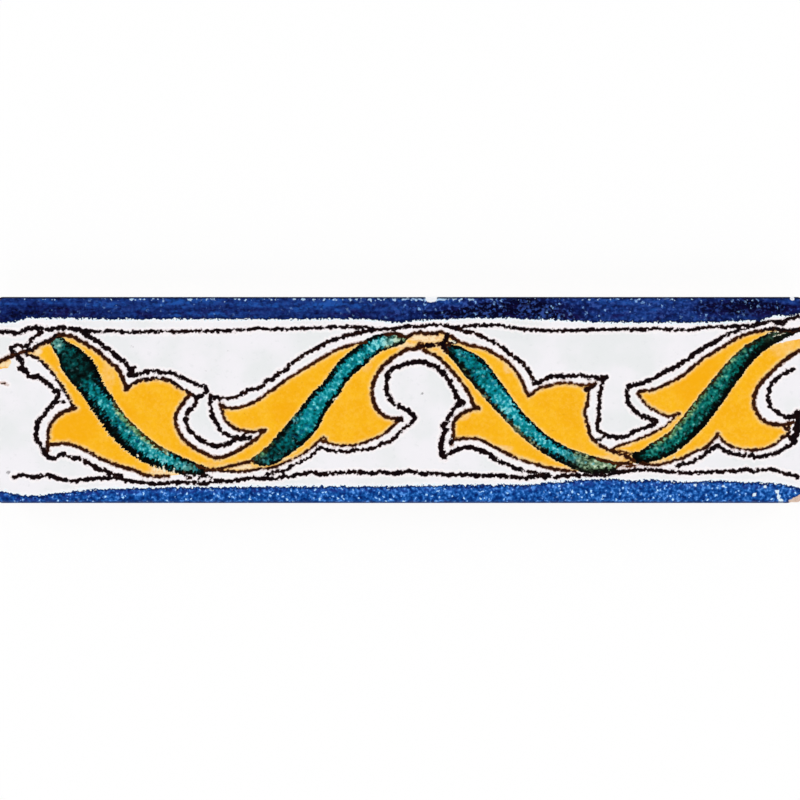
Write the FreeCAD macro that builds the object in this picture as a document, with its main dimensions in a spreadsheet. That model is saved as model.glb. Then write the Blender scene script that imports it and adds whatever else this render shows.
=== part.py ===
"""Hand-painted border tile: one fired strip of earthenware, glazed on its face.

The strip lies on its back with the glazed face up. +X runs along the strip, +Y across it and +Z out of
the glazed face. The origin is the middle of the back, in the plane that beds on the wall.
All sizes are in millimetres and degrees.
"""
import FreeCAD, Part
import math
import os

import Sketcher

# Driving dimensions: alias, value, meaning
DIMENSIONS = [
    ("tile_length", 201.0, "end to end, along X"),
    ("tile_width", 51.5, "edge to edge, along Y"),
    ("tile_thickness", 9.5, "back to glazed face, along Z"),
    ("corner_radius", 1.2, "upright corners, seen from the face"),
    ("arris_radius", 0.7, "soft edge of the glaze round the face"),
    ("back_bevel", 0.5, "bevel round the back, left by the press"),
    ("key_count", 4, "keying grooves in the back"),
    ("key_width", 5.0, "groove mouth, across the tile"),
    ("key_depth", 1.0, "groove floor above the back plane"),
    ("key_draft", 20.0, "lean of the groove walls, so that the press lets go"),
    ("key_side_margin", 7.5, "long edge of the tile to the nearest groove"),
    ("key_end_margin", 9.0, "end of the tile to the end of each groove"),
]
NODE = "border_tile"
OUT_FOLDER = "parts"
# Two heights closer than this are the same level
SAME_LEVEL = 1e-4
# Points of a sketch line or arc, and the sketch's own axes, by the numbers that constraints know them by
START, END, CENTRE = range(1, 4)
X_AXIS, Y_AXIS = range(-1, -3, -1)


def make_sheet(document):
    """The spreadsheet of driving dimensions, one aliased cell for each."""
    sheet = document.addObject("Spreadsheet::Sheet", "Dimensions")
    for row, (alias, value, meaning) in enumerate(DIMENSIONS, start=1):
        sheet.set(f"A{row}", alias)
        sheet.set(f"B{row}", str(value))
        sheet.set(f"C{row}", meaning)
        sheet.setAlias(f"B{row}", alias)
    document.recompute()
    return sheet


def origin_item(body, role):
    """One of the body's own origin planes or axes."""
    return next(item for item in body.Origin.OriginFeatures if item.Role == role)


def back_sketch(body, name):
    """An empty sketch in the plane of the tile's back."""
    sketch = body.newObject("Sketcher::SketchObject", name)
    sketch.AttachmentSupport = [(origin_item(body, "XY_Plane"), "")]
    sketch.MapMode = "FlatFace"
    return sketch


def hold(sketch, *terms):
    """Adds a geometric constraint to a sketch."""
    sketch.addConstraint(Sketcher.Constraint(*terms))


def drive(sketch, name, expression, *terms):
    """Adds a named dimension to a sketch and ties it to the spreadsheet."""
    index = sketch.addConstraint(Sketcher.Constraint(*terms))
    sketch.renameConstraint(index, name)
    sketch.setExpression(f"Constraints.{name}", expression)


def level_edges(shape, height):
    """Names of the edges that lie wholly at one height."""
    names = []
    for number, edge in enumerate(shape.Edges, start=1):
        box = edge.BoundBox
        if max(abs(box.ZMin - height), abs(box.ZMax - height)) < SAME_LEVEL:
            names.append(f"Edge{number}")
    return names


def upright_edges(shape):
    """Names of the edges that run straight up."""
    names = []
    for number, edge in enumerate(shape.Edges, start=1):
        box = edge.BoundBox
        if max(box.XLength, box.YLength) < SAME_LEVEL:
            names.append(f"Edge{number}")
    return names


def draw_outline(body, sheet):
    """The tile's outline: a rectangle centred on the origin."""
    sketch = back_sketch(body, "TileOutline")
    half_length = float(sheet.tile_length) / 2
    half_width = float(sheet.tile_width) / 2
    signs = [(-1, -1), (1, -1), (1, 1), (-1, 1)]
    corners = [FreeCAD.Vector(x * half_length, y * half_width, 0) for x, y in signs]
    for start, end in zip(corners, corners[1:] + corners[:1]):
        sketch.addGeometry(Part.LineSegment(start, end))
    front, right, rear, left = range(4)
    for line, following in ((front, right), (right, rear), (rear, left), (left, front)):
        hold(sketch, "Coincident", line, END, following, START)
    for line in (front, rear):
        hold(sketch, "Horizontal", line)
    for line in (right, left):
        hold(sketch, "Vertical", line)
    hold(sketch, "Symmetric", front, START, rear, START, X_AXIS, START)
    drive(sketch, "along", "Dimensions.tile_length", "DistanceX", front, START, front, END, 2 * half_length)
    drive(sketch, "across", "Dimensions.tile_width", "DistanceY", right, START, right, END, 2 * half_width)
    return sketch


def press_blank(body, sheet):
    """The pressed strip at its full size, with its upright corners rounded."""
    strip = body.newObject("PartDesign::Pad", "PressedStrip")
    strip.Profile = draw_outline(body, sheet)
    strip.setExpression("Length", "Dimensions.tile_thickness")
    body.Document.recompute()
    rounds = body.newObject("PartDesign::Fillet", "CornerRounds")
    rounds.Base = (strip, upright_edges(strip.Shape))
    rounds.setExpression("Radius", "Dimensions.corner_radius")
    body.Document.recompute()
    return rounds


def ease_edges(body, sheet, blank):
    """The soft arris of the glaze round the face, then the bevel round the back."""
    arris = body.newObject("PartDesign::Fillet", "GlazedArris")
    arris.Base = (blank, level_edges(blank.Shape, float(sheet.tile_thickness)))
    arris.setExpression("Radius", "Dimensions.arris_radius")
    body.Document.recompute()
    bevel = body.newObject("PartDesign::Chamfer", "BackBevel")
    bevel.Base = (arris, level_edges(arris.Shape, 0.0))
    bevel.setExpression("Size", "Dimensions.back_bevel")
    body.Document.recompute()
    return bevel


def draw_key(body, sheet):
    """The mouth of one keying groove: a round-ended slot beside the tile's -Y edge."""
    sketch = back_sketch(body, "KeyMouth")
    radius = float(sheet.key_width) / 2
    reach = float(sheet.tile_length) / 2 - float(sheet.key_end_margin) - radius
    row = float(sheet.key_side_margin) + radius - float(sheet.tile_width) / 2
    up = FreeCAD.Vector(0, 0, 1)
    across = FreeCAD.Vector(0, radius, 0)
    left_centre = FreeCAD.Vector(-reach, row, 0)
    right_centre = FreeCAD.Vector(reach, row, 0)
    quarter = math.pi / 2
    left = sketch.addGeometry(Part.ArcOfCircle(Part.Circle(left_centre, up, radius), quarter, 3 * quarter))
    low = sketch.addGeometry(Part.LineSegment(left_centre - across, right_centre - across))
    right = sketch.addGeometry(Part.ArcOfCircle(Part.Circle(right_centre, up, radius), -quarter, quarter))
    high = sketch.addGeometry(Part.LineSegment(right_centre + across, left_centre + across))
    for item, following in ((left, low), (low, right), (right, high), (high, left)):
        hold(sketch, "Tangent", item, END, following, START)
    hold(sketch, "Horizontal", low)
    hold(sketch, "Symmetric", left, CENTRE, right, CENTRE, Y_AXIS)
    drive(sketch, "end_radius", "Dimensions.key_width / 2", "Radius", left, radius)
    drive(sketch, "half_run", "Dimensions.tile_length / 2 - Dimensions.key_end_margin - Dimensions.key_width / 2",
          "DistanceX", X_AXIS, START, right, CENTRE, reach)
    drive(sketch, "row", "Dimensions.tile_width / 2 - Dimensions.key_side_margin - Dimensions.key_width / 2",
          "DistanceY", right, CENTRE, X_AXIS, START, -row)
    return sketch


def cut_keys(body, sheet):
    """The keying grooves that the bedding mortar grips, spread evenly across the back."""
    key = body.newObject("PartDesign::Pocket", "Key")
    key.Profile = draw_key(body, sheet)
    key.Reversed = True
    key.setExpression("Length", "Dimensions.key_depth")
    key.setExpression("TaperAngle", "-Dimensions.key_draft")
    body.Document.recompute()
    rows = body.newObject("PartDesign::LinearPattern", "KeyRows")
    rows.Originals = [key]
    rows.Direction = (origin_item(body, "Y_Axis"), [""])
    rows.setExpression("Length", "Dimensions.tile_width - 2 * Dimensions.key_side_margin - Dimensions.key_width")
    rows.setExpression("Occurrences", "Dimensions.key_count")
    body.Tip = rows
    body.Document.recompute()
    return key


def key_volume(sheet):
    """What one groove takes away, from its mouth and floor areas and the area halfway down."""
    depth = float(sheet.key_depth)
    lean = math.tan(math.radians(float(sheet.key_draft)))
    run = float(sheet.tile_length) - 2 * float(sheet.key_end_margin) - float(sheet.key_width)

    def slot_area(inset):
        radius = float(sheet.key_width) / 2 - inset
        return math.pi * radius ** 2 + 2 * radius * run

    mouth, middle, floor = (slot_area(share * depth * lean) for share in (0, 0.5, 1))
    return depth * (mouth + 4 * middle + floor) / 6


def check(document, body, blank, sheet):
    """Stops unless every feature is sound and all the grooves are really cut."""
    for item in document.Objects:
        if "Invalid" in item.State or "Error" in item.State:
            raise RuntimeError(f"{item.Name} failed: {item.State}")
    shape = body.Shape
    if shape.isNull() or not shape.isValid() or len(shape.Solids) != 1:
        raise RuntimeError("the tile is not one valid solid")
    removed = blank.Shape.Volume - shape.Volume
    expected = key_volume(sheet) * round(float(sheet.key_count))
    if abs(removed - expected) > 0.01 * expected:
        raise RuntimeError(f"the grooves took {removed:.1f} mm3 and should take {expected:.1f} mm3")


def main():
    document = FreeCAD.newDocument("BorderTile")
    sheet = make_sheet(document)
    body = document.addObject("PartDesign::Body", "BorderTile")
    body.Label = NODE
    body.Placement = FreeCAD.Placement()
    blank = press_blank(body, sheet)
    eased = ease_edges(body, sheet, blank)
    cut_keys(body, sheet)
    check(document, body, eased, sheet)
    os.makedirs(OUT_FOLDER, exist_ok=True)
    body.Shape.exportStep(os.path.join(OUT_FOLDER, f"{body.Label}.step"))


main()
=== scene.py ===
"""Looks of the hand-painted border tile: one glazed strip on a pale floor, seen from straight above."""
import math

import bpy
import numpy as np
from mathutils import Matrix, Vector
from mathutils.geometry import delaunay_2d_cdt


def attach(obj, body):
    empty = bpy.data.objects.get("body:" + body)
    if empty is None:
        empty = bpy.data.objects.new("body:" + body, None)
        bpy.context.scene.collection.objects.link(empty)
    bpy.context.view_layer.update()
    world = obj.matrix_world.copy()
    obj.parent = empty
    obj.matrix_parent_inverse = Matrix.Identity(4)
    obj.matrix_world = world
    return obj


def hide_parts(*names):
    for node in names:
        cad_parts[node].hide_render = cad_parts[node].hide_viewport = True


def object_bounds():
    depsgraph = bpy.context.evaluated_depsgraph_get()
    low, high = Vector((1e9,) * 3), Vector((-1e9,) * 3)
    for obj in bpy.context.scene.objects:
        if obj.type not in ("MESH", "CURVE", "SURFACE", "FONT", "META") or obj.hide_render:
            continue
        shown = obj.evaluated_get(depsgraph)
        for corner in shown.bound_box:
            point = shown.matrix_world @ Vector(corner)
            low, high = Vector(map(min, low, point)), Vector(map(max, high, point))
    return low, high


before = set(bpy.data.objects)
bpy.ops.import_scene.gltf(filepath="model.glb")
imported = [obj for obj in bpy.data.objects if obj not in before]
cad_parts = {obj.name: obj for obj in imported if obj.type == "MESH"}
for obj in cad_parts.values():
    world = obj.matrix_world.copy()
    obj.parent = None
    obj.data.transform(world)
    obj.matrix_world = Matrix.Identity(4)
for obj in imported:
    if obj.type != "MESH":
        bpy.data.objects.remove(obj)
cad_low, cad_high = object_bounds()

# Sizes of the strip's edges and back, in millimetres, as the solid has them
MM = 0.001
CORNER_RADIUS = 1.2
ARRIS_RADIUS = 0.7
BACK_BEVEL = 0.5
KEY_COUNT = 4
KEY_WIDTH = 5.0
KEY_DEPTH = 1.0
KEY_DRAFT = math.radians(20)
KEY_SIDE_MARGIN = 7.5
KEY_END_MARGIN = 9.0

# The strip's own size, in millimetres, from the solid
NODE = "border_tile"
LENGTH, WIDTH, THICKNESS = (size / MM for size in cad_high - cad_low)
HALF_LENGTH = LENGTH / 2
HALF_WIDTH = WIDTH / 2
# Middle of the strip to the centre of each groove's round end
KEY_REACH = HALF_LENGTH - KEY_END_MARGIN - KEY_WIDTH / 2

# Mesh fineness: steps on the face and down the sides in millimetres, and numbers of steps in the rounds
FACE_STEP = 0.38
SIDE_STEP = 1.1
CORNER_STEPS = 4
ARRIS_STEPS = 5
KEY_ARC_STEPS = 12
# Edges that bend more than this stay sharp
SHARP_ANGLE = math.radians(35)
# Lengths that differ by less than this are the same, in millimetres
NEARLY = 1e-6

# The camera takes in this much of the face from side to side, in millimetres. The painted lines are drawn
# on a grid of this many steps over that width. Its x runs along the strip and its y down the face.
PICTURE_WIDTH = 199.6
GRID_STEPS = 800
# One step of the grid in millimetres, the middle of the tile on it, and its steps along a smooth line
GRID = PICTURE_WIDTH / GRID_STEPS
GRID_MIDDLE = (399.7, 399.4)
LINE_STEP = 1.0

# Brush lines of the outlines: name, half the line's width in grid steps, how brown it is from 0 to 1, points
BRUSH_LINES = [
    ("upper border left", 1.85, 0.03, [
        (-4, 331), (8, 331.5), (16, 332.5), (22, 331), (27, 328.5), (35, 327), (50, 328.5), (58, 327.5),
        (66, 327), (73, 328.5), (80, 329.5), (90, 331)]),
    ("upper border", 1.36, 0.08, [
        (95, 331.5), (110, 330.5), (130, 331.5), (150, 331), (170, 331), (200, 330.5), (228, 330),
        (250, 329), (257, 328), (280, 328.5), (300, 328), (325, 326.5), (350, 326.5), (365, 326.5),
        (374, 328), (392, 328.5), (405, 326), (420, 325.5), (437, 324), (450, 326), (457, 327.5),
        (466, 325.5), (482, 324.5), (500, 325), (508, 326.5), (522, 328.5), (540, 329.5), (560, 330),
        (580, 329.5), (600, 329), (620, 328.5), (640, 329), (655, 328), (670, 329), (690, 329.5),
        (700, 327.5), (712, 326.5), (726, 326.5), (740, 325), (752, 324), (760, 322), (767, 320.5),
        (776, 321.5), (786, 319.5), (793, 317.5), (804, 314.5)]),
    ("lower border left", 1.7, 0.06, [
        (13, 476.5), (20, 474.5), (27, 475), (35, 477), (44, 474.5), (52, 476), (60, 478.5), (70, 480),
        (80, 479.5), (92, 478), (110, 477.5), (120, 478), (128, 480), (140, 481.5), (152, 483),
        (165, 482.5), (190, 481.5), (205, 483), (215, 480.5), (230, 480.5), (245, 478), (260, 477.7),
        (270, 478), (276, 477.8), (282, 476.3), (290, 475.6), (300, 474), (312, 472), (322, 473.5),
        (340, 472), (355, 471.5), (370, 473), (382, 471), (392, 473), (400, 472), (412, 471), (422, 473.5),
        (432, 472.5), (450, 474.5), (465, 474), (480, 475.5), (497, 475), (510, 476.5), (525, 477.4),
        (532, 476), (539, 476), (546, 476.8), (551, 475.5)]),
    ("lower border right", 1.6, 0.08, [
        (555.5, 477.3), (559, 475.3), (570, 474.8), (581, 474.8), (600, 474.3), (608, 474), (615, 472),
        (626, 470.5), (640, 469), (652, 469.3), (662, 470.3), (680, 472), (700, 472), (712, 471),
        (735, 470.5), (747, 469), (753, 471.5), (760, 469.5), (772, 469), (780, 472), (790, 474),
        (798, 476.5)]),
    # First leaf
    ("leaf 1 tip", 1.7, 0.45, [(-4, 363), (3, 359), (12, 355), (20, 352), (30, 349.5)]),
    ("leaf 1 top", 1.7, 0.3, [
        (30, 349.5), (35, 347), (41, 343), (48, 340.5), (55, 336), (60, 334), (66, 334.5), (74, 337),
        (82, 341.5), (90, 346), (98, 351), (106, 358), (113, 364), (118, 369), (122, 377), (125, 386)]),
    ("leaf 1 top start", 1.75, 0.0, [(24, 351), (30, 349.5), (35, 347), (41, 343), (48, 340.5), (55, 336)]),
    ("leaf 1 upper notch", 1.9, 0.3, [(126, 385), (126, 389)]),
    ("leaf 1 lobe top", 1.5, 0.22, [
        (127, 387), (133, 383), (139, 379.5), (147, 379), (156, 378), (166, 379), (173, 382), (180, 387),
        (187, 391), (194, 394.5)]),
    ("leaf 1 side", 1.6, 0.4, [
        (191, 393), (186, 398), (181, 405), (176.5, 412), (175, 419), (177, 427), (180, 434), (184, 439),
        (190, 444.5), (197, 449), (205, 453), (213, 456.5), (221, 457), (230, 453.5), (239, 449),
        (248, 444), (256, 438), (263, 431)]),
    ("leaf 1 left", 1.3, 0.2, [
        (27, 354), (33, 355.5), (39, 359.5), (45, 365), (51, 371), (56, 378), (61, 385), (66, 393),
        (69, 399), (72, 405), (76, 408)]),
    ("leaf 1 lower lobe", 1.5, 0.3, [
        (76, 408), (68, 409.5), (60, 413), (54, 418), (50, 424), (48, 431), (48, 438), (47, 444),
        (48, 450)]),
    ("leaf 1 lower", 1.4, 0.35, [
        (50, 444), (58, 443.5), (66, 443), (74, 445), (82, 448.5), (90, 452), (98, 457), (107, 461),
        (116, 464.5), (126, 467.5), (136, 470.5), (143, 474), (152, 475.5), (160, 476), (168, 475.5)]),
    ("leaf 1 outer tip", 1.65, 0.1, [
        (41, 331), (37, 335), (31, 338), (29, 343), (23, 346.5), (17, 344.5), (12, 346), (11, 350),
        (15, 351.5)]),
    ("leaf 1 outer left", 2.1, 0.05, [
        (17, 353), (18, 358), (22, 361), (22, 365), (19, 367), (25, 370), (28, 375), (34, 377), (38, 375.5),
        (43, 380), (48, 384), (53, 388), (58, 393), (57, 398), (54, 401)]),
    ("leaf 1 outer notch", 1.4, 0.05, [(56, 401), (64, 402)]),
    ("leaf 1 outer lower lobe", 1.95, 0.05, [
        (54, 401), (50, 406), (45, 412), (41, 418), (37, 422), (36, 429), (35, 436), (38, 441), (41, 446),
        (44, 452), (49, 457), (56, 457.5)]),
    ("leaf 1 outer lower", 1.95, 0.1, [
        (56, 457), (61, 453.5), (66, 455), (73, 457), (80, 458), (87, 462), (93, 465.5), (98, 469),
        (105, 469.5), (112, 473.5), (121, 476)]),
    ("leaf 1 outer top", 2.05, 0.05, [
        (80, 330), (86, 334), (92, 337.5), (98, 341), (104, 346), (111, 350.5), (116, 355.5), (123, 361),
        (128, 367), (131, 375)]),
    ("leaf 1 outer top notch", 2.6, 0.05, [(130, 374), (131, 369), (134, 367)]),
    ("leaf 1 outer lobe", 1.7, 0.05, [
        (133, 374.5), (140, 373), (147, 371), (156, 370.5), (163, 372), (171, 372.5), (179, 376),
        (186, 378.5), (192, 382), (198, 384.5), (204, 385), (206, 388), (205, 392), (201, 395),
        (196, 397.5)]),
    ("leaf 1 outer side", 1.9, 0.1, [
        (196, 398), (195, 404), (191, 408), (187, 413), (185.5, 419), (187, 426), (191, 432), (197, 436.5),
        (204, 441), (211, 444.5), (218, 445.5), (226, 444), (232, 441), (237, 437)]),
    # Second leaf
    ("leaf 2 outer top", 1.7, 0.15, [
        (210, 394.5), (215, 397), (224, 398), (232, 397), (240, 394.5), (248, 389.5), (256, 388),
        (262, 385), (266, 380), (273, 378), (279, 372), (285, 369.5), (290, 364), (297, 358.5), (304, 354),
        (311, 350.5), (319, 346.5), (328, 341), (338, 338), (348, 334.5), (358, 332.5), (367, 330),
        (378, 328.5)]),
    ("leaf 2 outer left", 1.7, 0.05, [
        (210.5, 394.5), (210, 400), (210.5, 408), (212.5, 417), (217, 424), (220.5, 430), (227, 434),
        (234, 436.5), (241, 438), (250, 437.5)]),
    ("leaf 2 outer link", 1.2, 0.2, [(240, 438), (246, 431)]),
    ("leaf 2 top", 1.3, 0.6, [
        (220, 404), (226, 407), (232, 407.5), (240, 406.5), (248, 404), (255, 401), (262, 396.5),
        (268, 391.5), (275, 387.5), (281, 382.5), (287, 378), (293, 374.5), (300, 370.5), (307, 366),
        (314, 362), (322, 357), (331, 352), (341, 347.5), (352, 344), (366, 341)]),
    ("leaf 2 left", 1.3, 0.35, [
        (220, 404), (221.5, 409), (223, 415), (226, 421), (231, 425.5), (237, 429), (244, 430.5),
        (253, 431), (265, 429.5)]),
    ("stem 1 lower", 1.25, 0.4, [
        (196, 465), (204, 468), (213, 468.5), (222, 467.5), (232, 465), (243, 462.5), (253, 460)]),
    ("stem 1 second", 1.1, 0.3, [
        (205, 470), (216, 470), (228, 470.5), (240, 471), (250, 470), (259, 468), (270, 467.5),
        (277, 465.5)]),
    ("leaf 2 lower", 1.0, 0.35, [
        (277, 465.5), (284.5, 462), (292, 459), (299, 455.5), (306, 451), (312, 446.5), (318, 441),
        (322.5, 436.5)]),
    ("leaf 2 lower notch", 1.0, 0.3, [(321, 437), (325, 437.5), (326, 442)]),
    ("leaf 2 lobe", 1.0, 0.5, [
        (320, 440.5), (328, 442.5), (336, 444.5), (345, 445), (354, 444.5), (362, 442.5), (370, 439.5),
        (378, 436.5), (385, 432.5), (391, 427), (398, 421)]),
    ("leaf 2 lobe tip", 2.6, 0.2, [(396, 419), (401, 419)]),
    ("leaf 2 right", 1.65, 0.35, [
        (399, 418), (392, 418), (385, 416), (379.5, 412), (375.5, 406.5), (373, 400), (372, 393),
        (372.5, 385.5), (374.5, 379), (378, 372.5), (382.5, 366), (388, 361), (394, 356), (401, 352),
        (408, 348)]),
    ("leaf 2 outer lower", 1.2, 0.1, [
        (267, 474), (271, 472.3), (280, 470.8), (286, 469.3), (290.5, 466), (296, 463.3), (303, 460.3),
        (310, 456.5)]),
    ("leaf 2 outer lower lobe", 1.35, 0.1, [
        (312, 454), (316, 450), (320, 447), (327, 449), (334, 450.5), (342, 450.5), (348, 451.5),
        (354, 449.5), (362, 449), (370, 448), (376, 446), (381, 443), (388, 442), (394, 438), (399, 433),
        (404, 427.5), (410, 424)]),
    ("leaf 2 outer tip", 1.6, 0.05, [(409, 425), (412, 421), (415.5, 417.5)]),
    ("leaf 2 outer right", 2.1, 0.05, [
        (415, 418), (411, 414), (408, 410), (402, 408), (397, 404), (391, 401), (389, 395), (386, 391),
        (386, 384), (387, 377), (388, 372), (392, 367.5), (399, 366), (405, 363.5), (412, 362), (424, 361),
        (430, 364.5), (437, 366.5), (441, 371), (446, 376.5), (450, 383), (454, 390), (458, 398),
        (464, 403)]),
    # Stem between the second and third leaves
    ("stem 2 top", 1.6, 0.3, [
        (384, 333.5), (394, 333), (401, 335), (406, 336.5), (411, 334), (419, 332), (427, 333), (435, 333),
        (441, 331.5), (447, 334.5)]),
    ("stem 2 link", 2.3, 0.05, [(447, 334.5), (446, 339), (443.5, 343.5)]),
    ("stem 2 middle", 1.8, 0.1, [
        (417, 346), (424, 345.5), (432, 344.5), (440, 344), (446, 344.5), (453, 341.5), (458, 341)]),
    ("stem 2 smudge", 0.8, 1.0, [(415.5, 346), (419, 342.5), (422.5, 343), (421, 347)]),
    ("leaf 3 left", 1.5, 0.35, [
        (406, 348), (412, 348.5), (419, 347.5), (426, 351), (433, 354), (440, 358.5), (446, 364.5),
        (452, 371), (458, 378), (463, 384.5), (468, 392), (471, 398), (473, 404), (479, 408)]),
    # Third leaf
    ("leaf 3 top", 1.5, 0.6, [
        (447, 334.5), (451, 336), (455, 339), (460, 341.5), (466, 344), (472, 345), (479, 346.5),
        (487, 349), (494, 352.5), (501, 357), (507, 361), (513, 367), (517, 373), (521, 379), (524, 386),
        (528, 395)]),
    ("leaf 3 lobe top", 1.3, 0.6, [
        (528, 395.5), (534, 391), (539, 387.5), (546, 386), (552, 384), (559, 382.5), (567, 382.5),
        (575, 383.5), (583, 384.5), (595, 383)]),
    ("leaf 3 lobe tip", 2.2, 0.2, [(586, 389), (594, 384)]),
    ("leaf 3 side", 1.4, 0.3, [
        (588, 388), (588, 396), (587, 404), (584.5, 411), (585.5, 418), (588, 426), (589.5, 433),
        (592, 438), (597, 442.5), (603, 446.5), (610, 450), (618, 452.5), (626, 456), (634, 461)]),
    ("leaf 3 lower lobe", 1.5, 0.35, [
        (479, 408), (471, 408.5), (464, 411.5), (458, 416), (454, 421), (453, 429), (453, 437),
        (451, 444)]),
    ("leaf 3 lower", 1.3, 0.4, [
        (455, 439), (462, 438), (470, 438), (477, 438.5), (484, 441), (491, 445), (499, 449), (507, 453),
        (514, 457), (521, 459.5), (530, 462), (540, 465), (550, 467.5), (560, 469.5), (575, 471)]),
    ("leaf 3 outer top", 1.65, 0.15, [
        (450, 326.5), (458, 328.5), (465, 331), (473, 332), (480, 334.5), (486, 338), (493, 341.5),
        (499, 345), (506, 350), (512, 355), (519, 360), (525, 365.5), (529, 372), (533, 379.5)]),
    ("leaf 3 outer lobe", 1.75, 0.1, [
        (533, 383.5), (539, 381.5), (545, 378), (552, 375.5), (561, 375.5), (570, 375), (581, 375),
        (588, 376.5), (595, 376), (600, 379), (606, 377.5)]),
    ("leaf 3 outer lobe tip", 2.4, 0.1, [(601, 378), (606, 377)]),
    ("leaf 3 outer side", 1.72, 0.1, [
        (602, 381), (601, 388), (599, 395), (599, 404), (598, 412), (598, 420), (597, 428), (602, 432),
        (606, 435)]),
    ("leaf 3 outer notch", 1.5, 0.1, [(598, 439.5), (602, 437.5), (604, 434)]),
    ("leaf 3 outer lower lobe", 2.0, 0.05, [
        (464, 403), (458, 404.5), (454, 408), (451, 413), (448, 416), (447.5, 421), (443, 423), (443, 427),
        (447, 430), (442, 434), (442, 441), (441, 448), (442, 453), (443, 457.5)]),
    ("leaf 3 outer lobe swell", 2.5, 0.05, [(442.5, 437), (441, 446), (443, 456)]),
    ("leaf 3 lobe corner", 1.9, 0.0, [(452.5, 437.5), (451, 442.5)]),
    ("leaf 3 outer lower", 2.0, 0.05, [
        (443, 457), (449, 453.5), (455, 450), (462, 447), (470, 447), (478, 449), (485, 451.5),
        (490, 454.5), (495, 459)]),
    ("leaf 3 outer lower end", 1.8, 0.05, [(499, 460.5), (504, 463), (510, 465), (516, 468), (522, 469.5)]),
    ("leaf 3 outer lower tail", 0.8, 0.15, [
        (521, 469.5), (527, 470.7), (534, 471.8), (541, 473.2), (549, 473.4)]),
    # Fourth leaf
    ("stem 3 top", 0.9, 0.35, [
        (611, 449.5), (616, 446), (624, 443.5), (632, 441), (640, 438), (648, 434.5), (656, 430.5),
        (663, 426.5), (669, 422), (674, 418)]),
    ("leaf 4 left", 1.15, 0.35, [
        (637, 393), (641, 398), (645, 403), (651, 408), (657, 411), (663, 414), (669, 416), (679, 413)]),
    ("leaf 4 top", 1.35, 0.3, [
        (637, 393), (642, 390), (649, 390), (656, 388.5), (662, 385.5), (669, 382), (676, 378.5),
        (683, 374), (690, 368.5), (697, 363), (704, 356.5), (711, 353), (719, 348), (727, 343),
        (735, 338.5), (743, 334.5), (751, 332), (760, 330.5), (768, 328.5), (778, 329.5), (787, 330),
        (804, 327.5)]),
    ("leaf 4 top end", 1.75, 0.0, [(764, 329.8), (768, 328.5), (778, 329.5), (787, 330), (804, 327.5)]),
    ("leaf 4 outer left", 2.0, 0.05, [
        (629, 384.5), (627, 391), (627, 398), (629, 404), (633, 409), (639, 413.5), (646, 417),
        (657, 420.5)]),
    ("leaf 4 outer notch", 1.8, 0.05, [(650, 419.5), (657, 420), (652, 424)]),
    ("leaf 4 outer stem", 1.8, 0.05, [
        (604, 433.5), (609, 436), (616, 436.5), (624, 436), (630, 433.5), (636, 430), (644, 427.5),
        (651, 425.5), (656, 421)]),
    ("leaf 4 outer top", 1.9, 0.05, [
        (627, 386), (634, 384.5), (642, 382), (649, 380), (656, 376.5), (662, 372.5), (669, 369),
        (676, 366.5), (681, 362), (688, 358.5), (694, 353), (701, 349.5), (708, 345), (715, 341),
        (721, 337)]),
    ("leaf 4 outer top end", 1.3, 0.05, [
        (721, 337), (728, 333.3), (735, 330.6), (742, 328.6), (747, 327.4), (753, 325.8), (760, 324.3),
        (765, 322.5)]),
    ("leaf 4 lower", 1.25, 0.4, [
        (640, 462), (648, 464), (657, 464.5), (666, 462.5), (675, 459.5), (683, 457.5), (690, 453.5),
        (697, 450), (704, 447.5), (710, 443), (715, 437), (718, 433)]),
    ("leaf 4 lower notch", 0.9, 0.7, [(716, 435), (718, 433), (720, 437)]),
    ("leaf 4 lobe", 0.95, 0.5, [
        (720, 438), (727, 443.5), (734, 447), (742, 448.5), (750, 449.5), (758, 449), (766, 447.5),
        (773, 444.5), (779, 440.5), (785, 435.5)]),
    ("leaf 4 right", 1.75, 0.35, [
        (799, 350.5), (792, 354), (785.5, 359), (779, 364), (772, 370.5), (765.5, 377), (759.5, 383.5),
        (756, 390), (754, 398), (754, 405), (757, 412), (761, 418), (767, 422), (775, 424), (784, 424),
        (793, 421.5)]),
    ("leaf 4 outer right", 1.7, 0.05, [
        (793, 369), (787, 371), (781, 375), (776, 379), (771, 383), (769, 389), (767.5, 395), (769, 401),
        (771, 407), (776, 411), (781, 414), (787, 416.5), (804, 415.5)]),
    ("leaf 4 outer lower", 1.65, 0.05, [
        (676, 465.5), (683, 464), (690, 462), (696, 459.5), (702, 455.5), (708, 451), (714, 447),
        (718, 445.5), (723, 449), (730, 452.5), (738, 454), (746, 455), (752, 455), (757, 457), (764, 455),
        (771, 454), (778, 451.5), (785, 447.5), (791, 443.5), (797, 436.5)]),
    ("right end blot", 3.3, 0.05, [
        (798.5, 412), (796.5, 415), (797.5, 420), (796, 426), (797, 431), (795, 436), (793, 440)]),
    ("right end blot ties", 0.6, 0.1, [
        (784.5, 427), (788.5, 426), (790.5, 429.5), (787.5, 433.5), (789, 438)]),
    ("right end blot side", 1.3, 0.4, [(781, 437.5), (786, 435), (792, 437)]),
    ("right end blot bits", 0.9, 0.6, [(785, 428.5), (789.5, 430.5), (788.5, 434.5), (793, 438)]),
    # Tangled strokes where the stems meet
    ("stem 1 tangle", 0.9, 0.2, [(184, 470.5), (184.5, 475), (188, 477.5), (192.5, 476), (194.5, 473)]),
    ("stem 1 tangle end", 1.3, 0.1, [(198.5, 477), (203, 475), (207, 474.5), (211, 477)]),
    ("leaf 3 vein start", 2.1, 0.0, [(441.5, 343.5), (444, 347.5), (447, 351.5)]),
    ("leaf 3 vein end", 1.2, 0.8, [(596, 458), (606, 460.5), (613, 462.5), (622, 463), (631, 462.5)]),
    ("stem 3 tangle", 0.8, 1.0, [(616, 466.5), (622, 465), (629, 466), (636, 464.5)]),
    ("stem 3 inner", 0.8, 1.0, [(613, 450), (622, 451), (630, 453.5)]),
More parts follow.
